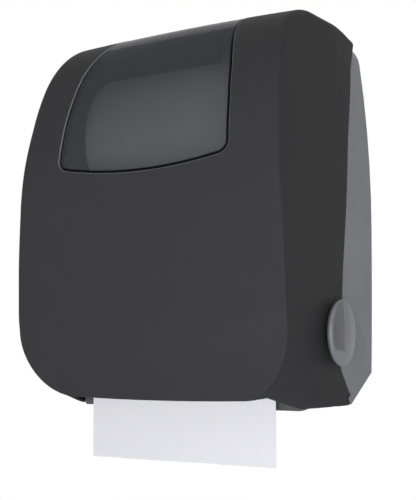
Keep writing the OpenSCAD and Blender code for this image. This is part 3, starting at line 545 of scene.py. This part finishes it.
def casingHalfWidth(y, z):
    c = casing
    depth = rampFrom(-y, c["hingeY"], c["frontY"] - c["hingeY"])
    under = np.interp(-y, [c["hingeY"], c["dipY"], c["lipY"]], [0.0, c["dip"], c["lipZ"]])
    r = c["lipCorner"] * depth ** c["lipPower"]
    h = np.maximum(0.0, z - under)
    drop = np.where(h >= r, 0.0, r - np.sqrt(np.maximum(0.0, r * r - (r - h) ** 2)))
    high = c["highTaper"] * (np.maximum(0.0, z - c["waist"]) / (c["height"] - c["waist"])) ** 2
    low = c["lowTaper"] * (np.maximum(0.0, c["waist"] - z) / c["waist"]) ** 2
    deep = c["deepTaper"] * rampFrom(z, *c["deepRamp"]) ** c["deepPower"] * depth
    flare = c["flare"] * np.interp(z, c["swayZ"], c["sway"]) * depth ** c["flarePower"]
    return c["width"] / 2 + flare - high - low - drop - deep


def creaseRadius(z):
    c = casing
    rise = sum(rampFrom(z, *ramp) for ramp in c["shoulderRamps"]) / len(c["shoulderRamps"])
    r = c["crease"] + (c["shoulder"] - c["crease"]) * rise
    r -= (c["crease"] - c["creaseLow"]) * rampFrom(z, *c["creaseRamp"])
    return r + c["rearShoulder"] * rampFrom(z - c["height"], *c["rearRamp"])


def crownHeight(z):  # how far the middle of the front stands out, less near the top and the lip
    c = casing
    high = c["crownHigh"] * rampFrom(z, *c["crownHighRamp"])
    low = c["crownLow"] * rampFrom(z, *c["crownLowRamp"])
    return c["crown"] * (1.0 - high - low)


def casingSurface():
    c = casing
    path = densePath(roundPath([
        (-c["tailY"], c["tailZ"], 0, 0), (-c["hingeY"], 0, 0, 0), (-c["dipY"], c["dip"], 0, 0),
        (-c["lipY"], c["lipZ"], c["lipR"], 6),
        (-c["frontY"], c["lowZ"], c["lowR"], 10), (-c["frontY"], c["leanZ"], c["leanR"], 24),
        (-c["browY"], c["browZ"], c["browR"], 24), (-c["topY"], c["height"], c["topR"], 16),
        (0, c["height"] - c["rearFall"], 0, 0)]), c["step"])
    fan = np.array(c["fan"])
    fronts = np.linspace(0.0, 1.0, c["acrossFront"])
    turns = np.radians(np.linspace(90.0, 0.0, c["acrossEdge"]))[1:]
    sides = np.linspace(1.0, c["fanHole"], c["acrossSide"])[1:]
    rows = []
    for q in path:
        z = q[1]
        reach = np.linalg.norm(q - fan)
        d = (q - fan) / reach
        r = creaseRadius(z)
        back = c["cornerBack"] * np.interp(z, c["swayZ"], c["sway"])
        corner = q - d * back
        flat = 1.0 - r / reach
        share = flat + (1.0 - flat) * np.sin(turns)
        edge = fan[None] + (corner - fan)[None] * share[:, None]
        xEdge = casingHalfWidth(edge[:, 0], edge[:, 1]) - r * (1.0 - np.cos(turns))
        xFront = float(casingHalfWidth(*corner)) - r
        lift = crownHeight(z) * (1.0 - fronts ** 2) - back * fronts ** 2
        front = q[None] + d[None] * lift[:, None]
        side = fan[None] + (corner - fan)[None] * (flat * sides)[:, None]
        xSide = casingHalfWidth(side[:, 0], side[:, 1])
        half = np.concatenate([np.column_stack(pair) for pair in
                               ((xFront * fronts, front), (xEdge, edge), (xSide, side))])
        rows.append(np.concatenate([half[:0:-1] * (-1, 1, 1), half]))
    grid = np.array(rows)
    normal = np.cross(np.gradient(grid, axis=1), np.gradient(grid, axis=0))
    return grid, normal / np.maximum(np.linalg.norm(normal, axis=2, keepdims=True), tiny)


clipSet = {"halvings": 14, "margin": 0.03}


def clipSurface(grid, normal, keep):  # keeps the cells where keep() is below zero, cut true along its edge
    rows, cols = grid.shape[:2]
    inside = (keep(grid.reshape(-1, 3)) < 0).reshape(rows, cols)
    points, normals, at = [], [], {}

    def crossing(ia, ja, ib, jb):
        a, b = grid[ia, ja], grid[ib, jb]
        low, high = np.zeros(len(a)), np.ones(len(a))
        first = inside[ia, ja]
        for _ in range(clipSet["halvings"]):
            mid = (low + high) / 2
            same = (keep(a + (b - a) * mid[:, None]) < 0) == first
            low, high = np.where(same, mid, low), np.where(same, high, mid)
        t = np.clip((low + high) / 2, clipSet["margin"], 1 - clipSet["margin"])[:, None]
        n = normal[ia, ja] * (1 - t) + normal[ib, jb] * t
        return a + (b - a) * t, n / np.linalg.norm(n, axis=1, keepdims=True)

    def keepPoint(key, p, n):
        at[key] = len(points)
        points.append(p)
        normals.append(n)

    for i, j in zip(*np.nonzero(inside)):
        keepPoint(("v", i, j), grid[i, j], normal[i, j])
    for tag, di, dj in (("r", 1, 0), ("c", 0, 1)):
        ia, ja = np.nonzero(inside[:rows - di, :cols - dj] != inside[di:, dj:])
        ps, ns = crossing(ia, ja, ia + di, ja + dj)
        for i, j, p, n in zip(ia, ja, ps, ns):
            keepPoint((tag, i, j), p, n)
    faces = []
    for i in range(rows - 1):
        for j in range(cols - 1):
            ring = ((i, j), (i, j + 1), (i + 1, j + 1), (i + 1, j))
            flags = [inside[k] for k in ring]
            if not any(flags):
                continue
            edges = (("c", i, j), ("r", i, j + 1), ("c", i + 1, j), ("r", i, j))
            face = []
            for k in range(4):
                if flags[k]:
                    face.append(at[("v", *ring[k])])
                if flags[k] != flags[(k + 1) % 4]:
                    face.append(at[edges[k]])
            if len(face) > 2:
                faces.append(face)
    return np.array(points), np.array(normals), faces


def meshPiece(name, points, polygons, normals=None):
    mesh = bpy.data.meshes.new(name)
    mesh.from_pydata([(x * mm, y * mm, (z - benchZ) * mm) for x, y, z in points], [], polygons)
    mesh.polygons.foreach_set("use_smooth", [True] * len(mesh.polygons))
    if normals is not None:
        mesh.normals_split_custom_set_from_vertices([tuple(v) for v in normals])
    mesh.update()
    piece = bpy.data.objects.new(name, mesh)
    bpy.context.scene.collection.objects.link(piece)
    return piece


def shellFromSurface(name, points, normals, faces, rim, thick):
    # rim: steps (out, down, turn) from the outer face round the edge to the inner face
    directed = {(f[k], f[(k + 1) % len(f)]) for f in faces for k in range(len(f))}
    border = [(a, b) for a, b in directed if (b, a) not in directed]
    outward = {}
    for a, b in border:
        t = unitVector(np.cross(points[b] - points[a], normals[a] + normals[b]))
        for k in (a, b):
            outward[k] = outward.get(k, 0) + t
    n, m = len(points), len(rim)
    allPoints = [points, points - normals * thick]
    allNormals = [normals, -normals]
    ringAt = {k: 2 * n + s * m for s, k in enumerate(sorted(outward))}
    turned = [onCircle(math.radians(w)) for _, _, w in rim]
    for k in sorted(outward):
        t = unitVector(outward[k] - normals[k] * (outward[k] @ normals[k]))
        allPoints.append(np.array([points[k] + t * o - normals[k] * d for o, d, _ in rim]))
        allNormals.append(np.array([normals[k] * c + t * s for c, s in turned]))
    polygons = [list(f) for f in faces] + [[n + k for k in reversed(f)] for f in faces]
    for a, b in border:
        chainA, chainB = ([k] + [ringAt[k] + s for s in range(m)] + [n + k] for k in (a, b))
        polygons += [[chainB[s], chainA[s], chainA[s + 1], chainB[s + 1]] for s in range(m + 1)]
    return meshPiece(name, np.concatenate(allPoints), polygons, np.concatenate(allNormals))


def settle(piece, body, material, slot, *stoodFor):
    piece.data.materials.clear()
    piece.data.materials.append(material)
    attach(piece, body)
    if stoodFor:
        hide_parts(*stoodFor)
    return piece


def benchPlaces(piece):
    places = np.empty(len(piece.data.vertices) * 3)
    piece.data.vertices.foreach_get("co", places)
    return places.reshape(-1, 3) / mm + (0, 0, benchZ)


def markPoints(piece, name, values):
    piece.data.attributes.new(name, "FLOAT", "POINT").data.foreach_set("value", values)


def roundedEdge(radius):
    return [(radius * math.sin(a), radius * (1 - math.cos(a)), math.degrees(a)) for a in np.radians([20, 40, 60, 90])]


def filletRim(radius, thick, inner):  # rounded outer edge, straight wall, small inner round
    wall = thick - inner
    return roundedEdge(radius) + [(radius, wall, 90)] + [
        (radius - inner * (1 - math.cos(a)), wall + inner * math.sin(a), 90 + math.degrees(a))
        for a in np.radians([45, 90])]


casingGrid, casingNormal = casingSurface()
print("casing surface:", casingGrid.shape[0], "x", casingGrid.shape[1])


# cover

coverSet = {"edge": 0.6, "innerEdge": 0.3, "outletZ": 14.0, "lockY": 46.0, "lockHole": 7.3, "lockLow": 300.0,
            "shaftWay": 9.0, "shaftSide": 100.0, "shaftSwing": range(0, -37, -3), "drumY": 107.0, "drumZ": 68.0,
            "windowLow": 170.0, "polishHighlightWide": 3.0}
seamPath = roundPath([(-62, 10.4, 0, 0), (-88, 36, 14, 10), (-83, 124, 260, 8), (-62, 254, 260, 8),
                      (-30, 338, 50, 10), (-6, 372, 0, 0), (-6, 400, 0, 0)])
coverSide = np.concatenate([[(-62, -20), (-62, 2.4)], seamPath, [(-300, 420), (-300, -20)]])
windowHalf = [(90.5, 221, 11, 12), (88, 266, 300, 8), (82.5, 312, 200, 12), (62, 385, 0, 0)]
windowFront = roundPath([(0, 204, 416.3, 30)] + windowHalf + mirrorOutline(windowHalf), closed=True)
windowPlan = roundPath([(-150, -260, 0, 0), (150, -260, 0, 0), (110, -162, 0, 0), (63, -92, 12, 10),
                        (-63, -92, 12, 10), (-110, -162, 0, 0)], closed=True)
outletHalf = [(109, -191), (120, -135), (135, -92), (135, -30)]
outletPlan = np.array(outletHalf + mirrorOutline(outletHalf), float)


def windowDistance(p):
    return np.maximum.reduce([outlineDistance(p[:, [0, 2]], windowFront), outlineDistance(p[:, [0, 1]], windowPlan),
                              coverSet["windowLow"] - p[:, 2]])


def shaftWayDistance(p):  # the slot that lets the knob's shaft out as the cover swings open
    s = coverSet
    arm = np.array([casing["hingeY"] - s["drumY"], s["drumZ"] - casing["hingeZ"]])
    best = np.full(len(p), np.inf)
    for a in np.radians(s["shaftSwing"]):
        c = (-casing["hingeY"] + arm[0] * math.cos(a) - arm[1] * math.sin(a),
             casing["hingeZ"] + arm[0] * math.sin(a) + arm[1] * math.cos(a))
        best = np.minimum(best, np.hypot(p[:, 1] - c[0], p[:, 2] - c[1]) - s["shaftWay"])
    return np.maximum(best, s["shaftSide"] - p[:, 0])


def coverKeep(p):
    s = coverSet
    side = outlineDistance(p[:, 1:], coverSide)
    ear = np.hypot(p[:, 1] + casing["hingeY"], p[:, 2] - casing["hingeZ"]) - casing["hingeZ"]
    outlet = np.maximum(outlineDistance(p[:, :2], outletPlan), p[:, 2] - s["outletZ"])
    lock = np.maximum(np.hypot(p[:, 0], p[:, 1] + s["lockY"]) - s["lockHole"], s["lockLow"] - p[:, 2])
    cuts = np.maximum.reduce([-windowDistance(p), -outlet, -shaftWayDistance(p), -lock])
    return np.maximum(np.minimum(side, ear), cuts) + s["edge"]


points, normals, faces = clipSurface(casingGrid, casingNormal, coverKeep)
coverSkin = shellFromSurface("coverSkin", points, normals, faces,
                             filletRim(coverSet["edge"], casing["wall"], coverSet["innerEdge"]), casing["wall"])
settle(coverSkin, "cover", finish["coverBlack"], "cover_black", "front_cover")
places = benchPlaces(coverSkin)
onRim = np.arange(len(places)) >= 2 * len(points)
# painted highlight: rim points near the window aperture get the paler painted edge colour and the clear coat
markPoints(coverSkin, "polishAndHighlight", (onRim & (np.abs(windowDistance(places)) < coverSet["polishHighlightWide"])).astype(float))
print("cover skin:", len(coverSkin.data.polygons), "faces")


# window pane, with the flange that sits behind the aperture

windowSet = {"gap": 0.8, "sunk": 0.3, "edge": 0.7, "thick": 4.5, "flangeOut": 6.2, "flangeDown": 2.8,
             "nook": 0.1, "flangeRound": 0.3}


def windowKeep(p):
    return windowDistance(p) + windowSet["gap"] + windowSet["edge"]


def windowRim(s):
    edge, down, out, nook, turn = s["edge"], s["flangeDown"], s["flangeOut"], s["nook"], s["flangeRound"]
    return roundedEdge(edge) + [
        (edge, down - nook, 90), (edge + nook, down, 0), (out, down, 0), (out + turn, down + turn, 90),
        (out + turn, s["thick"] - turn, 90), (out, s["thick"], 180)]


points, normals, faces = clipSurface(casingGrid - casingNormal * windowSet["sunk"], casingNormal, windowKeep)
windowPane = shellFromSurface("windowPane", points, normals, faces, windowRim(windowSet), windowSet["thick"])
settle(windowPane, "cover", windowSmoke, "window_smoke", "window")
# the inset distance places the painted shade along the pane's edge
markPoints(windowPane, "inset", windowDistance(benchPlaces(windowPane)))
print("window pane:", len(windowPane.data.polygons), "faces")


# towel roll: wound ends stand in fine rings, the outer face is slightly soft

rollSet = {"radius": 74.0, "bore": 20.5, "half": 100.0, "y": -91.0, "z": 264.0, "segments": 144, "across": 24,
           "layer": 0.9, "ring": 0.14, "edge": 0.8, "endIn": 0.6, "slip": 0.5, "soft": 0.12, "softFrom": 0.2,
           "slipWaves": ((0.35, 0.37, 0.0), (0.2, 1.13, 0.6)), "softWaves": ((5, 0.05), (9, -0.11))}


def makeRoll(s):
    wound = s["radius"] - s["bore"] - s["edge"]
    rings = int(wound / s["layer"] * 2)
    end = s["half"] - s["endIn"]
    outline = []
    for k in range(rings + 1):
        r = s["bore"] + wound * k / rings
        slip = sum(share * math.sin(r * rate + start) for share, rate, start in s["slipWaves"])
        outline.append((r, end + s["slip"] * slip - (s["ring"] if k % 2 else 0.0)))
    for a in np.radians([30, 60, 90]):
        outline.append((s["radius"] - s["edge"] * (1 - math.sin(a)), end - s["edge"] * (1 - math.cos(a))))
    turned = len(outline)
    for k in range(1, s["across"]):
        outline.append((s["radius"], (end - s["edge"]) * (1 - 2 * k / s["across"])))
    outline += [(r, -x) for r, x in reversed(outline[:turned])]
    n, m = len(outline), s["segments"]
    points = []
    for k in range(m):
        a = 2 * math.pi * k / m
        for r, x in outline:
            give = 0.0
            if r > s["radius"] - s["softFrom"]:
                give = s["soft"] * sum(math.sin(turns * a + x * along) for turns, along in s["softWaves"]) / 2
            rr = r - abs(give)
            points.append((x, s["y"] + rr * math.cos(a), s["z"] + rr * math.sin(a)))
    polygons = [[k * n + i, k * n + (i + 1) % n, (k + 1) % m * n + (i + 1) % n, (k + 1) % m * n + i]
                for k in range(m) for i in range(n)]
    return meshPiece("towelRoll", points, polygons)


towelRoll = settle(makeRoll(rollSet), "roll", finish["rollPaper"], "paper", "towel_roll")
print("towel roll:", len(towelRoll.data.polygons), "faces")


# towel web: off the back of the roll, round the pinch roller, over the drum and down through the outlet

webSet = {"width": 200.0, "thick": 0.36, "drumY": -107.0, "drumZ": 68.0, "webR": 39.5, "pinchR": 11.5,
          "pinchGap": 51.0, "pinchAngle": 45.0, "rollR": 74.8, "leafEnd": -53.0, "tooth": 4.0, "toothHigh": 0.5,
          "wave": 0.35, "waves": ((1.0, 0.055, 0.0, 0.7), (0.5, 0.13, 0.03, 0.0)), "freeRamp": (20.0, -70.0),
          "hangWithin": 0.5, "slack": 1.6, "slackTurn": 65.0, "wrapSteps": 19, "overSteps": 41, "rowStep": 6.0,
          "leafStep": 3.0}


def webPath(s):
    drum = np.array([s["drumY"], s["drumZ"]])
    roll = np.array([rollSet["y"], rollSet["z"]])
    turn = math.radians(s["pinchAngle"])
    pinch = drum + s["pinchGap"] * onCircle(turn)
    d = roll - pinch
    lean = math.atan2(d[1], d[0]) - math.acos((s["pinchR"] - s["rollR"]) / np.linalg.norm(d))
    wrap = []
    for a in np.linspace(lean, turn - math.pi, s["wrapSteps"]):
        clear = s["slack"] * rampFrom(math.degrees(lean - a), s["slackTurn"], -s["slackTurn"])  # room for the lift
        wrap.append(pinch + (s["pinchR"] + clear) * onCircle(a))
    over = [drum + s["webR"] * onCircle(a) for a in np.linspace(turn, math.pi, s["overSteps"])[1:]]
    path = densePath(np.array([roll + s["rollR"] * onCircle(lean)] + wrap + over), s["rowStep"])
    drop = np.array([drum[0] - s["webR"], s["leafEnd"]])
    return np.concatenate([path, densePath(np.array([path[-1], drop]), s["leafStep"])[1:]])


def makeWeb(s):
    path = webPath(s)
    xs = np.arange(-s["width"] / 2, s["width"] / 2 + 0.01, s["tooth"] / 2)
    front, back, fronts, backs = [], [], [], []
    tangent = np.gradient(path, axis=0)
    tangent /= np.linalg.norm(tangent, axis=1, keepdims=True)
    for k, (q, t) in enumerate(zip(path, tangent)):
        across = np.array([-t[1], t[0]])
        hangs = q[0] < s["drumY"] - s["webR"] + s["hangWithin"]
        free = rampFrom(q[1], *s["freeRamp"]) if hangs else 0.0
        for c, x in enumerate(xs):
            sway = sum(share * math.sin(x * side + q[1] * down + start) for share, side, down, start in s["waves"])
            p = q + across * (s["wave"] * free * sway)
            if k == len(path) - 1 and c % 2:
                p = p - t * s["toothHigh"]
            front.append((x, *(p + across * s["thick"] / 2)))
            back.append((x, *(p - across * s["thick"] / 2)))
            fronts.append((0, *across))
            backs.append((0, *-across))
    rows, cols = len(path), len(xs)
    n = rows * cols
    polygons = []
    for i in range(rows - 1):
        for j in range(cols - 1):
            f = [i * cols + j, i * cols + j + 1, (i + 1) * cols + j + 1, (i + 1) * cols + j]
            polygons += [f, [n + v for v in f[::-1]]]
    edge = list(range(cols)) + [i * cols + cols - 1 for i in range(1, rows)]
    edge += [(rows - 1) * cols + j for j in range(cols - 2, -1, -1)] + [i * cols for i in range(rows - 2, 0, -1)]
    for a, b in zip(edge, edge[1:] + edge[:1]):
        polygons.append([b, a, n + a, n + b])
    length = np.linalg.norm(np.diff(path, axis=0), axis=1).sum()
    return meshPiece("towelWeb", front + back, polygons, fronts + backs), length


towelWeb, webLength = makeWeb(webSet)
settle(towelWeb, "housing", finish["leafPaper"], "paper", "towel_web")
print("towel web: flat length", round(webLength, 1), "mm")


# coiled springs as round wire

springSet = {"wire": 0.7, "perTurn": 28, "roundness": 4}
armSpring = {"radius": 5.2, "pitch": 2.2, "turns": 5.0, "leg": 12.0, "place": (108.0, -15.0, 258.5)}
pinchSpring = {"radius": 3.6, "pitch": 2.2, "turns": 4.25, "leg": 9.0, "place": (84.0, -38.0, 84.0)}


def coilPoints(s):
    n = int(s["turns"] * springSet["perTurn"])
    whole = 2 * math.pi * s["turns"]
    r, leg, high = s["radius"], s["leg"], s["pitch"] * s["turns"]
    points = [(r, -leg, 0.0), (r, -leg / 2, 0.0)]
    points += [(*(r * onCircle(whole * i / n)), high * i / n) for i in range(n + 1)]
    c, d = onCircle(whole)
    return points + [(r * c - leg * f * d, r * d + leg * f * c, high) for f in (0.5, 1.0)]


def wireCurve(name, runs):
    curve = bpy.data.curves.new(name, "CURVE")
    curve.dimensions = "3D"
    curve.bevel_depth = springSet["wire"] * mm
    curve.bevel_resolution = springSet["roundness"]
    curve.use_fill_caps = True
    for run in runs:
        spline = curve.splines.new("POLY")
        spline.points.add(len(run) - 1)
        for point, (x, y, z) in zip(spline.points, run):
            point.co = (x * mm, y * mm, (z - benchZ) * mm, 1.0)
    piece = bpy.data.objects.new(name, curve)
    bpy.context.scene.collection.objects.link(piece)
    return piece


ax, ay, az = armSpring["place"]
armCoil = wireCurve("armSpring", [[(ax + x, ay - y, az + z) for x, y, z in coilPoints(armSpring)]])
settle(armCoil, "housing", finish["plainSteel"], "steel", "arm_spring")
px, py, pz = pinchSpring["place"]
rightCoil = [(px + z, py + y, pz - x) for x, y, z in coilPoints(pinchSpring)]
pinchCoils = wireCurve("pinchSprings", [rightCoil, [(-x, y, z) for x, y, z in rightCoil]])
settle(pinchCoils, "housing", finish["plainSteel"], "steel", "pinch_springs")
print("springs: 3 coils")


# hand knob: a domed disc on its hub, with a shallow finger dish that ends in a step at the middle

knobSet = {"place": (145.0, -107.0, 68.0), "radius": 31.5, "thick": 7.6, "fall": 2.7, "bore": 5.02, "boreEnd": 1.4,
           "hub": 7.5, "hubBack": -10.0, "back": 28.5, "rimX": 4.2, "rimRound": 1.2, "rimRise": 0.6,
           "domeFrom": 0.955, "dishR": 29.2, "leastSlope": 6.0, "step": -0.5, "stepWide": 9.0, "low": -17.5,
           "lowWide": 7.0, "deep": 1.5, "dishShadeFade": 0.12, "dishShadeX": 1.5, "rings": 56, "around": 192}


def dishShare(s, y, z):  # 0 on the dome, 1 where the dish is deepest
    start = -np.sqrt(np.maximum(s["dishR"] ** 2 - z * z, 0.0))
    slope = rampFrom(y, start, np.maximum(s["step"] - start, s["leastSlope"])) * (np.hypot(y, z) < s["dishR"])
    end = rampFrom(z, s["low"], s["lowWide"])
    return slope * end * end * (3 - 2 * end) * (1 - rampFrom(y, s["step"], s["stepWide"]))


def makeKnob(s):
    rim = roundCorner(np.array([s["back"], 0.0]), np.array([s["radius"], s["rimX"]]),
                      np.array([0.0, s["thick"] + s["rimRise"]]), s["rimRound"], 6)
    outline = [(0.0, s["boreEnd"]), (s["bore"], s["boreEnd"]), (s["bore"], s["hubBack"]), (s["hub"], s["hubBack"]),
               (s["hub"], 0.0), (s["back"], 0.0)] + [tuple(q) for q in rim]
    domeStart = len(outline)
    for f in np.linspace(s["domeFrom"], 0.0, s["rings"]):
        outline.append((s["radius"] * f, s["thick"] - s["fall"] * f * f))
    n, m = len(outline), s["around"]
    kx, ky, kz = s["place"]
    points = []
    for k in range(m):
        c, d = onCircle(2 * math.pi * k / m)
        for i, (r, x) in enumerate(outline):
            depth = s["deep"] * float(dishShare(s, r * c, r * d)) if i >= domeStart else 0.0
            points.append((kx + x - depth, ky + r * c, kz + r * d))
    polygons = [[k * n + i, k * n + i + 1, (k + 1) % m * n + i + 1, (k + 1) % m * n + i]
                for k in range(m) for i in range(n - 1)]
    return meshPiece("handKnob", points, polygons)


handKnob = settle(makeKnob(knobSet), "drum", finish["knobGrey"], "shell_grey", "hand_knob")
# mark for the painted shade: points in the finger dish, short of its step and off the rim
outX, outY, outZ = (benchPlaces(handKnob) - knobSet["place"]).T
inDish = rampFrom(dishShare(knobSet, outY, outZ), 0.0, knobSet["dishShadeFade"]) * (outY < knobSet["step"])
markPoints(handKnob, "dishShade", inDish * (outX > knobSet["dishShadeX"]))
print("hand knob:", len(handKnob.data.polygons), "faces")


# the other nodes keep their solid and get a finish and smooth shading

nodeFinish = {
    "shellGrey": ["back_housing"], "darkSteel": ["hinge_pins"],
    "frameGrey": ["latch_hook", "left_roll_arm", "right_roll_arm", "left_cheek", "right_cheek", "left_cam",
                  "right_cam", "pinch_frame"],
    "hubBlue": ["left_core_hub", "right_core_hub"], "drumDark": ["drum"], "carrierRed": ["knife_carrier"],
    "acetalWhite": ["drum_bushes", "cam_followers"], "softRubber": ["drum_bands", "pinch_roller"],
    "plainSteel": ["lock_barrel", "lock_cam", "arm_pivot_pin", "drum_shaft", "knife_blade", "pinch_shaft",
                   "pinch_pivot_rod", "knob_pin"],
    "zincScrew": ["tray_screws", "chassis_screws"], "trayShadedGrey": ["outlet_tray"], "coreCard": ["towel_core"]}
shadeSet = {"weld": 0.000004, "sharpFrom": 28.0}


def makeSoftShade(s):
    tree = bpy.data.node_groups.new("softShade", "GeometryNodeTree")
    for way in ("INPUT", "OUTPUT"):
        tree.interface.new_socket("Geometry", in_out=way, socket_type="NodeSocketGeometry")
    start = tree.nodes.new("NodeGroupInput")
    end = tree.nodes.new("NodeGroupOutput")
    weld = addNode(tree, "GeometryNodeMergeByDistance")
    weld.inputs["Distance"].default_value = s["weld"]
    faces = addNode(tree, "GeometryNodeSetShadeSmooth", domain="FACE")
    edges = addNode(tree, "GeometryNodeSetShadeSmooth", domain="EDGE")
    edges.inputs["Shade Smooth"].default_value = False
    angle = addNode(tree, "GeometryNodeInputMeshEdgeAngle")
    sharp = addNode(tree, "FunctionNodeCompare", data_type="FLOAT", operation="GREATER_THAN")
    sharp.inputs[1].default_value = math.radians(s["sharpFrom"])
    link(tree, start.outputs[0], weld.inputs["Geometry"])
    link(tree, weld.outputs[0], faces.inputs["Geometry"])
    link(tree, faces.outputs[0], edges.inputs["Geometry"])
    link(tree, angle.outputs["Unsigned Angle"], sharp.inputs[0])
    link(tree, sharp.outputs[0], edges.inputs["Selection"])
    link(tree, edges.outputs[0], end.inputs[0])
    return tree


softShade = makeSoftShade(shadeSet)
for finishName, members in nodeFinish.items():
    for member in members:
        piece = nodes[member]
        piece.data.materials.clear()
        piece.data.materials.append(finish[finishName])
        piece.modifiers.new("softShade", "NODES").node_group = softShade
print("dressed nodes:", sum(len(v) for v in nodeFinish.values()))

bpy.context.view_layer.update()
